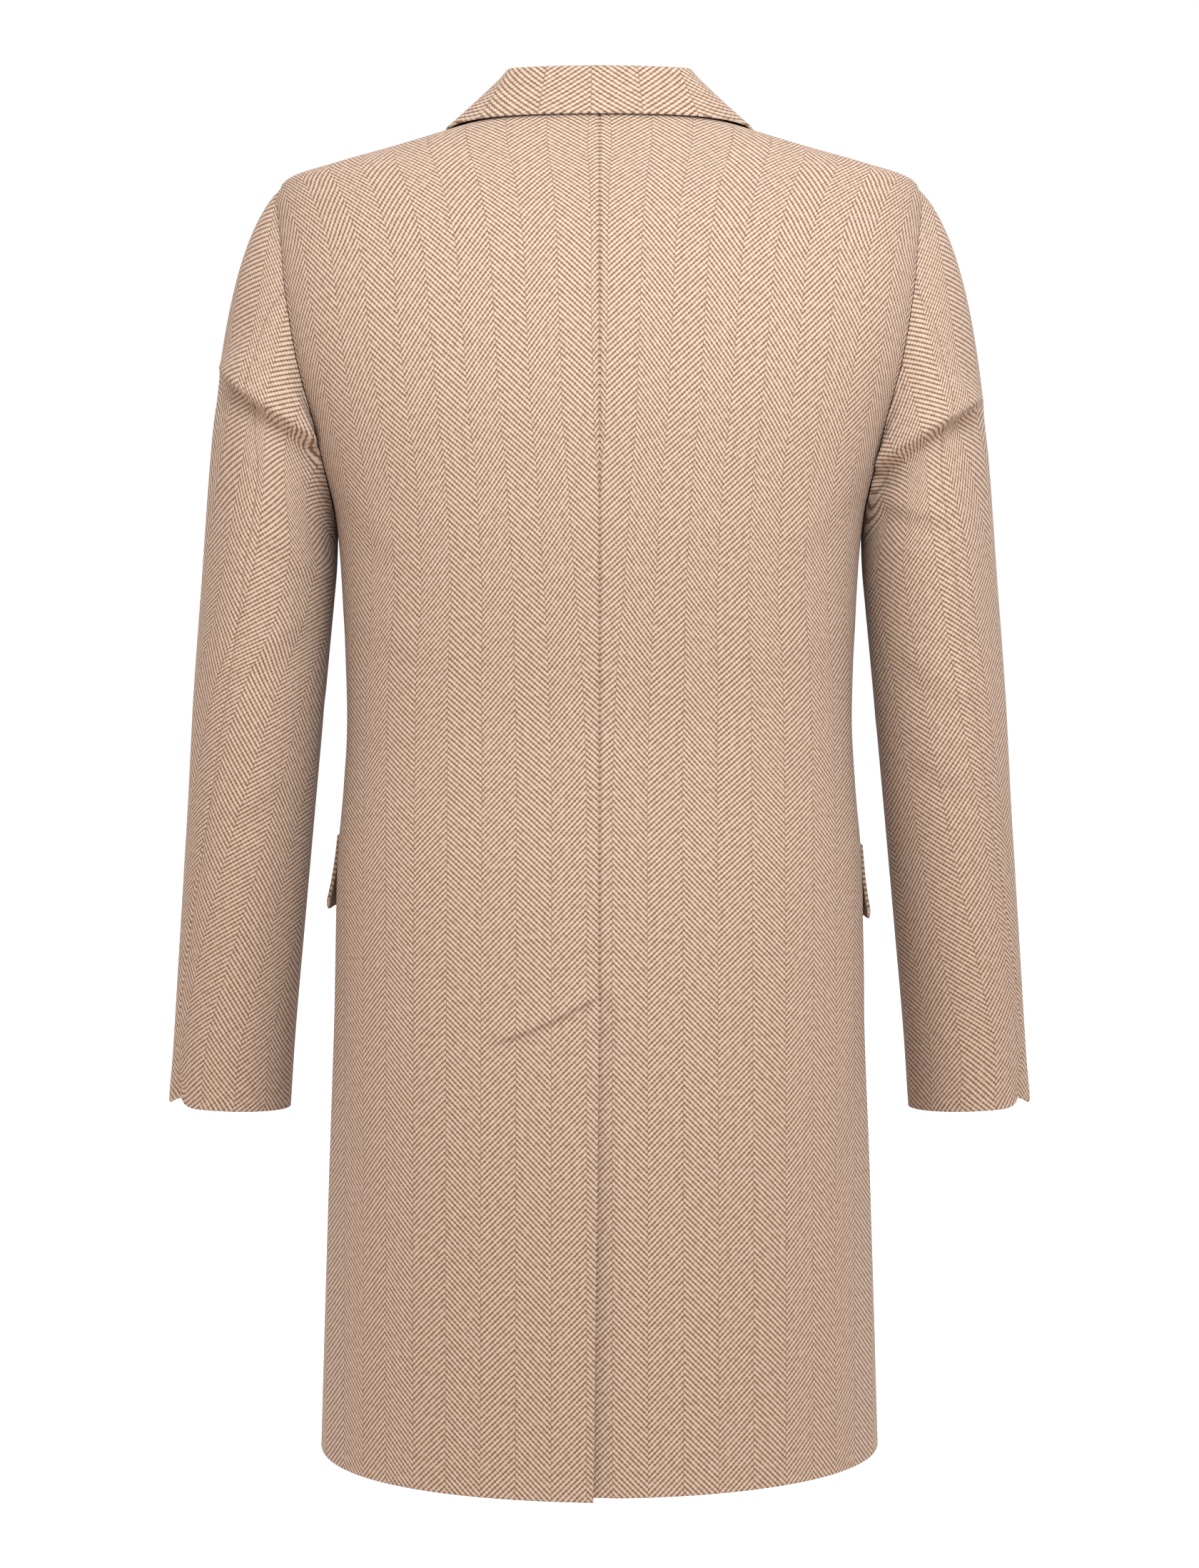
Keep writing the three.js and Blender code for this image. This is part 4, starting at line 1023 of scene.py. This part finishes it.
stand_height = curve_through(STAND, "u", "height")
stand_lean = curve_through(STAND, "u", "lean")


def on_body(angle, z, lift):
    return body_point(angle, z) + body_normal(angle, z) * lift


def neckline(u):
    """The neck seam: 0 is the centre back, 1 the shoulder seam and 2 the top of the roll line."""
    t = np.clip(u - 1, 0, 1)
    front_angle, front_z = front_place(t, np.full(np.shape(t), 3.0))
    back = u <= 1
    return np.where(back, 90 * (1 - u), front_angle), np.where(back, NECK_POINT * u * u, front_z)


def fall_edge(u):
    t = np.clip(u - 1, 0, 1)
    tip = angle_at(COLLAR_POINT_X, COLLAR_POINT_Z, -1)
    back = u <= 1
    back_z = mix(FALL_EDGE_BACK, FALL_EDGE_SIDE, np.minimum(u, 1) ** 3)
    front_z = mix(FALL_EDGE_SIDE, COLLAR_POINT_Z, t**FALL_EDGE_CURVE)
    return np.where(back, 90 * (1 - u), tip * t), np.where(back, back_z, front_z)


def collar_frame(u):
    """At each place along the neck: the seam, the outward and upward ways, and the fold's centre."""
    angle, z = neckline(u)
    seam_normal = body_normal(angle, z)
    ahead = body_point(*neckline(np.minimum(u + 0.01, 2)))
    behind = body_point(*neckline(np.maximum(u - 0.01, 0)))
    along = unit(ahead - behind)
    flat = ease(between(u, *COLLAR_LIES_DOWN))[..., None]
    lift = unit(mix(np.array([0, 0, 1.0]), seam_normal, flat))
    out = unit(-np.cross(along, lift))
    up = unit(np.cross(out, along))
    up = np.where(np.sum(up * lift, axis=-1, keepdims=True) < 0, -up, up)
    seam = body_point(angle, z)
    crown = seam + up * stand_height(u)[..., None] - out * stand_lean(u)[..., None]
    return {"seam": seam, "normal": seam_normal, "out": out, "up": up, "centre": crown - up * FOLD_RADIUS}


def arc_point(place, degrees, radius=FOLD_RADIUS):
    turn = np.radians(degrees)[..., None]
    return place["centre"] + radius * (place["out"] * np.cos(turn) + place["up"] * np.sin(turn))


def fall_point(u, v):
    """The collar's fall: v from -1 to 0 is the arc of the fold, from 0 to 1 the leaf."""
    place = collar_frame(np.abs(u))
    u = np.abs(u)
    t = np.clip(v, 0, 1)
    start = arc_point(place, np.full(np.shape(u), float(FALL_ARC_LEAF)))
    edge_angle, edge_z = fall_edge(u)
    lift = mix(FALL_LIFT_BACK, FALL_LIFT, ease(between(u, *FALL_RISES)))[..., None]
    end = on_body(edge_angle, edge_z, lift)
    leaf = mix(start, end, t[..., None]) + place["out"] * (FALL_BOW * t * (1 - t))[..., None]
    top_angle, top_z = neckline(u)
    top_x = body_point(top_angle, top_z)[..., 0]
    end_x = body_point(edge_angle, edge_z)[..., 0]
    gorge = ease(between(u, *GORGE_STARTS))
    to_notch = between(t, 0, COLLAR_NOTCH_SHARE)
    to_point = between(t, COLLAR_NOTCH_SHARE, 1)
    dip_x = mix(mix(ROLL_TOP_X, NOTCH_X, to_notch), COLLAR_POINT_X, to_point)
    dip_z = mix(mix(ROLL_TOP_Z, NOTCH_Z, to_notch), COLLAR_POINT_Z, to_point)
    x = mix(top_x, end_x, t) + gorge * (dip_x - mix(ROLL_TOP_X, COLLAR_POINT_X, t))
    z = mix(top_z, edge_z, t) + gorge * (dip_z - mix(ROLL_TOP_Z, COLLAR_POINT_Z, t))
    laid = on_body(angle_at(x, z, -1), z, lift)
    hug = (ease(between(u, *FALL_HUGS)) * (u > 1))[..., None]
    folded = arc_point(place, mix(FALL_ARC_LEAF, FALL_ARC_STAND, np.clip(-v, 0, 1)))
    return np.where((v < 0)[..., None], folded, mix(leaf, laid, hug))


def both_halves(points, normals, grain):
    """Joins a left half, whose first row is the centre back, to its mirror image."""
    other, other_normals = mirror(points, normals)
    other_grain = grain * np.array([-1, 1])
    return (np.concatenate([other[:0:-1], points]), np.concatenate([other_normals[:0:-1], normals]),
            np.concatenate([other_grain[:0:-1], grain]))


print("the collar stands", STAND["height"].max(), "mm high and folds at a radius of", FOLD_RADIUS, "mm")

# %% [markdown]
# The fall starts as an arc round the fold and goes on as a leaf that lies on the shoulders. The stand
# is inside it and shows only in the neck. Each is made for the left half and mirrored.

# %% Collar fall and stand
def neck_places():
    """Places along half the neck: from the centre back to the shoulder seam, then to the roll line."""
    return np.concatenate([np.linspace(0, 1, NECK_ROWS)[:-1], 1 + shares(NECK_FRONT, start=False)])


def collar_fall():
    along = neck_places()
    leaf = shares(FALL_DEPTH, step=FALL_GRID, start=False)
    down = np.concatenate([np.linspace(-1, 0, FOLD_ROWS)[:-1], leaf])
    v, u = np.meshgrid(down, along)
    points = fall_point(u, v)
    normals = normal_of(fall_point, np.clip(u, 0.01, 1.99), np.clip(v, -0.98, 0.98), 0.01, 0.02)
    place = collar_frame(u)
    facing = np.where((v < 0)[..., None], points - place["centre"], place["out"] + place["up"])
    normals = np.where(np.sum(normals * facing, axis=-1, keepdims=True) < 0, -normals, normals)
    normals[0] = unit(normals[0] * np.array([0, 1, 1]))
    across = arc_along(points, 0)
    grain = np.stack([across[:, 12:13] / COLLAR_STRETCH + 0 * across, -arc_along(points, 1)], axis=-1)
    points, normals, grain = both_halves(points, normals, grain)
    grain[..., 0] -= COLLAR_STRIPE_SHIFT
    free = ["first", "last", "end"]
    panel("cloth_collar_fall", ["collar_fall"], points, normals, grain, {}, free, FOLDED_CLOTH)


def collar_stand():
    along = neck_places()
    v, u = np.meshgrid(np.linspace(0, 1, 12), along)
    place = collar_frame(u)
    tuck = ease(between(u, *STAND_ENDS))[..., None]
    bottom = place["seam"] - place["normal"] * (CAD_CLOTH + STAND_INSET * tuck)
    bottom = bottom + place["up"] * mix(STAND_FOOT, -STAND_TUCK, tuck)
    top = arc_point(place, np.full(np.shape(u), float(FALL_ARC_STAND))) - place["up"] * STAND_ROOM
    points = mix(bottom, top, v[..., None])
    normals = unit(mix(-place["normal"], -place["out"], ease(between(v, *STAND_FACES_IN))[..., None]))
    grain = np.stack([arc_along(points, 0), arc_along(points, 1)], axis=-1)
    points, normals, grain = both_halves(points, normals, grain)
    panel("cloth_collar_stand", ["collar_stand"], points, normals, grain, {}, ["start", "end"])


collar_fall()
collar_stand()

# %% [markdown]
# The lapels are the tops of the fronts, turned back along the roll line. Each is a small rounded
# fold and a leaf that lies on the front. They end in a peak, with a notch below the collar's point.

# %% Lapels
PEAK_X, PEAK_Z = 168, -48
BELLY_X, BELLY_Z = 122, -192
GORGE_GAP = 0.8
GORGE_SHARE = 0.1
SEAM_GAP = 0.3
SETBACK = 1.2
SETBACK_SHARE = 0.06
LEAF_EASE = 0.4
LEAF_START = 0.03
LAPEL_AHEAD = 0.12
LAPEL_FOLD_START = 100
LAPEL_FOLD_END = 270
LAPEL_FOLD_ROWS = 8
LAPEL_WIDTH = 120
LAPEL_LENGTH = 300


def lapel_outer(t):
    a = (1 - t) ** 2
    b = 2 * t * (1 - t)
    c = t * t
    return a * PEAK_X + b * BELLY_X - c * FRONT_EDGE, a * PEAK_Z + b * BELLY_Z + c * BREAK


def lapel_place(t, v):
    roll_x, roll_z = roll_line(t)
    outer_x, outer_z = lapel_outer(t)
    fade = np.exp(-t / GORGE_SHARE)
    to_notch = between(v, 0, 0.5)
    to_peak = between(v, 0.5, 1)
    gorge_x = mix(mix(ROLL_TOP_X, NOTCH_X, to_notch), PEAK_X, to_peak)
    gorge_z = mix(mix(ROLL_TOP_Z, NOTCH_Z, to_notch), PEAK_Z, to_peak)
    x = mix(roll_x, outer_x, v) + fade * (gorge_x - mix(ROLL_TOP_X, PEAK_X, v))
    z = mix(roll_z, outer_z, v) + fade * (gorge_z - mix(ROLL_TOP_Z, PEAK_Z, v))
    return x, z - GORGE_GAP * fade


def lapel_point(t, v, is_over):
    """The lapel: v from -1 to 0 is the arc of its fold, from 0 to 1 the leaf."""
    start_x, start_z = lapel_place(t, 0 * t)
    start_angle = angle_at(start_x, start_z, -1)
    base = on_front(start_angle, start_z, is_over, 0)
    normal = body_normal(start_angle, start_z)
    next_x, next_z = lapel_place(t, 0 * t + LAPEL_AHEAD)
    toward = on_front(angle_at(next_x, next_z, -1), next_z, is_over, 0) - base
    out = unit(toward - normal * np.sum(toward * normal, axis=-1, keepdims=True))
    setback = (SEAM_GAP + SETBACK * np.exp(-t / SETBACK_SHARE))[..., None]
    centre = base + normal * (FOLD_RADIUS - CAD_CLOTH) - out * setback
    turn = np.radians(mix(LAPEL_FOLD_START, LAPEL_FOLD_END, np.clip(-v, 0, 1)))[..., None]
    fold = centre + FOLD_RADIUS * (out * np.cos(turn) + normal * np.sin(turn))
    share = np.clip(v, 0, 1)
    leaf_x, leaf_z = lapel_place(t, mix(LEAF_START, 1, share))
    lift = mix(2 * FOLD_RADIUS - CAD_CLOTH, FALL_LIFT - LEAF_EASE, share)
    leaf = on_front(angle_at(leaf_x, leaf_z, -1), leaf_z, is_over, lift)
    return np.where((v < 0)[..., None], fold, leaf)


def lapel(name, node, is_over):
    down = np.concatenate([np.linspace(-1, 0, LAPEL_FOLD_ROWS)[:-1], shares(LAPEL_WIDTH, start=False)])
    v, t = np.meshgrid(down, shares(LAPEL_LENGTH))
    points = lapel_point(t, v, is_over)
    across = np.gradient(points, axis=1)
    along = np.gradient(points, axis=0)
    normals = unit(np.cross(across, along))
    front = -body_normal(angle_at(60, -150, -1), -150)
    middle = normals[len(normals) // 2, -10]
    normals = normals if np.dot(middle, front) < 0 else -normals
    grain = np.stack([arc_along(points, 1), -arc_along(points, 0)], axis=-1)
    if not is_over:
        points, normals = mirror(points, normals)
    panel(name, [node], points, normals, grain, {}, ["first", "end"], FOLDED_CLOTH)


lapel("cloth_lapel_left", "lapel_left", True)
lapel("cloth_lapel_right", "lapel_right", False)

# %% [markdown]
# Each pocket has a flap that hangs from a sloping slit near the side seam. Its lower corners are
# rounded, and wear has let its rear edge stand away, so it shows past the side of the coat.

# %% Pocket flaps
FLAPS = columns("rear front top_rear top_front flare", [
    (-1.6, -50, -512, -500, 3.6), (-1, -50, -519, -507, 2.6),
])
FLAP_CLOTH = 2.4
FLAP_DEPTH = 54
FLAP_GRID = 3
FLAP_CORNER = 12
FLAP_CORNER_CUT = 0.7
FLAP_REAR_FLARE = 0.6
FLAP_WIDTH = 158


def pocket_flap(name, node, is_left):
    rear, front, top_rear, top_front, flare = (column[0 if is_left else 1] for column in FLAPS.values())
    v, u = np.meshgrid(shares(FLAP_DEPTH, step=FLAP_GRID), shares(FLAP_WIDTH))
    from_end = np.minimum(u, 1 - u) * FLAP_WIDTH
    short = np.clip(FLAP_CORNER - from_end, 0, None)
    rounded = FLAP_CORNER - np.sqrt(FLAP_CORNER**2 - short**2)
    z = mix(top_rear, top_front, u) - v * (FLAP_DEPTH - FLAP_CORNER_CUT * rounded)
    lift = CAD_CLOTH + CAD_LAYER_GAP + flare * v * v * (1 + FLAP_REAR_FLARE * (1 - u))
    angle = mix(rear, front, u)
    normals = body_normal(angle, z)
    points = body_point(angle, z) + normals * lift[..., None]
    grain = np.stack([arc_along(points, 0), -arc_along(points, 1)], axis=-1)
    if not is_left:
        points, normals = mirror(points, normals)
    panel(name, [node], points, normals, grain, {}, ["first", "last", "end"], FLAP_CLOTH)


pocket_flap("cloth_flap_left", "pocket_flap_left", True)
pocket_flap("cloth_flap_right", "pocket_flap_right", False)

# %% [markdown]
# The buttons are horn: turned, polished and sewn on through four holes. The photograph shows the
# back alone, so they are the plain kind that suits such a coat. Each hole is a near-black disc of
# painted shade, dark as if little light got in, and the spun thread is dull next to the polished horn.

# %% Horn and thread
def horn_material():
    """Polished dark brown horn with soft lighter streaks, which gives a smooth, slightly waxy shine."""
    horn = bpy.data.materials.new("polished horn")
    horn.use_nodes = True
    tree = horn.node_tree
    tree.nodes.clear()
    place = add(tree, "ShaderNodeTexCoord")
    streak = add(tree, "ShaderNodeTexNoise", {"Scale": 60.0, "Detail": 4.0, "Distortion": 1.5},
                 {"Vector": place.outputs["Object"]})
    colour = add(tree, "ShaderNodeMix", {"data_type": "RGBA", 6: linear("#2a1a11"), 7: linear("#6b4a30")},
                 {0: streak.outputs["Fac"]})
    surface = add(tree, "ShaderNodeBsdfPrincipled", {"Roughness": 0.28}, {"Base Color": colour.outputs[2]})
    add(tree, "ShaderNodeOutputMaterial", None, {"Surface": surface})
    return horn


def plain_material(name, colour, roughness):
    made = bpy.data.materials.new(name)
    made.use_nodes = True
    shader = made.node_tree.nodes["Principled BSDF"]
    shader.inputs["Base Color"].default_value = linear(colour)
    shader.inputs["Roughness"].default_value = roughness
    return made


horn = horn_material()
# painted shade: a near-black material for the discs that stand in for the button's holes
painted_hole_shade = plain_material("shadow in a button hole", "#120b07", 0.8)
thread = plain_material("brown sewing thread", "#5a3d29", 0.85)
print("a button is made of", ", ".join(made.name for made in (horn, painted_hole_shade, thread)))

# %% [markdown]
# A button is turned on a lathe, so here it is a profile swung round an axis, with four discs of painted
# shade for its holes and two bars of thread. It takes the place of its CAD button: its middle, and the
# way that it faces.

# %% Buttons
BUTTON = columns("radius height", [
    (0, -1.9), (8.6, -1.9), (12.6, -0.9), (13.7, 0.3), (13.6, 1.1), (12.9, 1.75),
    (11.9, 1.95), (10.9, 1.75), (9.9, 1.1), (8.6, 0.75), (5.0, 0.6), (0, 0.6),
])
HOLE_OFFSET = 1.9
THREAD_HEIGHT = 0.95
BUTTON_SIDES = 48
HOLE_SIDES = 16
THREAD_SIDES = 10
HOLE = columns("radius height", [(0, 0.3), (1, 0.3), (1, 0.64), (0, 0.64)])
STRAND = columns("radius height", [(0, -2.3), (0.45, -2.1), (0.45, 2.1), (0, 2.3)])


def turned_profile(profile, sides, centre=(0, 0, 0)):
    """Points and faces of a profile turned round the upright axis, in millimetres."""
    turn = np.linspace(0, 2 * np.pi, sides, endpoint=False)
    ring = np.stack([np.cos(turn), np.sin(turn)], axis=-1)
    sizes = zip(profile["radius"], profile["height"])
    rings = [np.column_stack([ring * radius, np.full(sides, height)]) for radius, height in sizes]
    index = np.arange(len(rings) * sides).reshape(len(rings), sides)
    after = np.roll(index, -1, axis=1)
    faces = np.stack([index[:-1], after[:-1], after[1:], index[1:]], axis=-1).reshape(-1, 4)
    return np.concatenate(rings) + np.array(centre), faces


def button_parts():
    """Every part of a button as points, faces and the number of its material."""
    parts = [(*turned_profile(BUTTON, BUTTON_SIDES), 0)]
    for x in (-HOLE_OFFSET, HOLE_OFFSET):
        for y in (-HOLE_OFFSET, HOLE_OFFSET):
            # each hole is a near-black disc of painted shade, not an opening
            parts.append((*turned_profile(HOLE, HOLE_SIDES, (x, y, 0)), 1))
        points, faces = turned_profile(STRAND, THREAD_SIDES)
        laid = np.stack([points[:, 0] + x, points[:, 2], points[:, 1] + THREAD_HEIGHT], axis=-1)
        parts.append((laid, faces[:, ::-1], 2))
    return parts


def button(node):
    """A horn button in the place of a CAD one: its middle, and the way that it faces."""
    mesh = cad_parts[node].data
    corners = np.array([vertex.co for vertex in mesh.vertices])
    middle = (corners.max(axis=0) + corners.min(axis=0)) / 2
    facing = np.linalg.svd(corners - corners.mean(axis=0), full_matrices=False)[2][2]
    facing = facing * -np.sign(facing[1])
    side = unit(np.cross(facing, [0, 0, 1.0]))
    axes = np.stack([side, np.cross(facing, side), facing])
    points = []
    faces = []
    kinds = []
    for part_points, part_faces, kind in button_parts():
        faces.append(part_faces + sum(len(p) for p in points))
        points.append(part_points)
        kinds += [kind] * len(part_faces)
    places = np.concatenate(points) * MM @ axes + middle
    made_mesh = bpy.data.meshes.new("horn_" + node)
    made_mesh.from_pydata(places.tolist(), [], np.concatenate(faces).tolist())
    made_mesh.polygons.foreach_set("material_index", np.array(kinds, dtype=np.int32))
    made_mesh.polygons.foreach_set("use_smooth", np.ones(len(made_mesh.polygons), dtype=bool))
    made_mesh.update()
    made = bpy.data.objects.new("horn_" + node, made_mesh)
    bpy.context.scene.collection.objects.link(made)
    for material in (horn, painted_hole_shade, thread):
        made.data.materials.append(material)
    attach(made, "root")
    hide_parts(node)
    return made


buttons = [button(f"button_{column}_{row}") for column in ("lap", "body") for row in (1, 2, 3)]
print(len(buttons), "buttons,", 2 * BUTTON["radius"].max(), "mm across")

# %% [markdown]
# The photograph is a cut-out on pure white. The white world lights the coat evenly. A wide, soft sun
# from above brightens its shoulders, and a cool softbox hangs between the camera and the collar, a
# little to the right. The coat hangs as high as it is worn, so the floor is well below the hem.

# %% Floor, light and camera
FLOOR_LEVEL = -1.45
CAMERA_DISTANCE = 2.2
CAMERA_HEIGHT = -0.474
LENS = 69.57

bpy.ops.mesh.primitive_plane_add(size=60, location=(0, 0, FLOOR_LEVEL))
floor = bpy.context.object
floor.name = "studio_floor"
paper = plain_material("white paper", "#fbfbfb", 0.9)
paper.node_tree.nodes["Principled BSDF"].inputs["Specular IOR Level"].default_value = 0.0
floor.data.materials.append(paper)

world = bpy.data.worlds.new("white studio")
world.use_nodes = True
world.node_tree.nodes["Background"].inputs["Color"].default_value = (1, 1, 1, 1)
world.node_tree.nodes["Background"].inputs["Strength"].default_value = 1.0
bpy.context.scene.world = world


def lamp(name, kind, energy, place, target, settings):
    """A light at a place, in metres, that looks at a target."""
    data = bpy.data.lights.new(name, kind)
    data.energy = energy
    for key, value in settings.items():
        setattr(data, key, value)
    made = bpy.data.objects.new(name, data)
    made.location = place
    made.rotation_euler = (Vector(target) - Vector(place)).to_track_quat("-Z", "Y").to_euler()
    bpy.context.scene.collection.objects.link(made)
    return made


lamp("overhead", "SUN", 0.8, (0, 0.45, 2), (0, 0.1, 0), {"angle": 0.9})
lamp("softbox", "AREA", 26, (-0.2, 1.1, 0.4), (0, 0.1, -0.25), {"size": 1.0, "color": (0.68, 0.86, 1.0)})

camera = bpy.data.objects.new("camera", bpy.data.cameras.new("camera"))
camera.location = (0, CAMERA_DISTANCE, CAMERA_HEIGHT)
camera.rotation_euler = (np.pi / 2, 0, np.pi)
camera.data.lens = LENS
bpy.context.scene.collection.objects.link(camera)
bpy.context.scene.camera = camera
bpy.context.scene.view_settings.view_transform = "Standard"
print("the camera stands", CAMERA_DISTANCE, "m behind the coat, with a lens of", LENS, "mm")
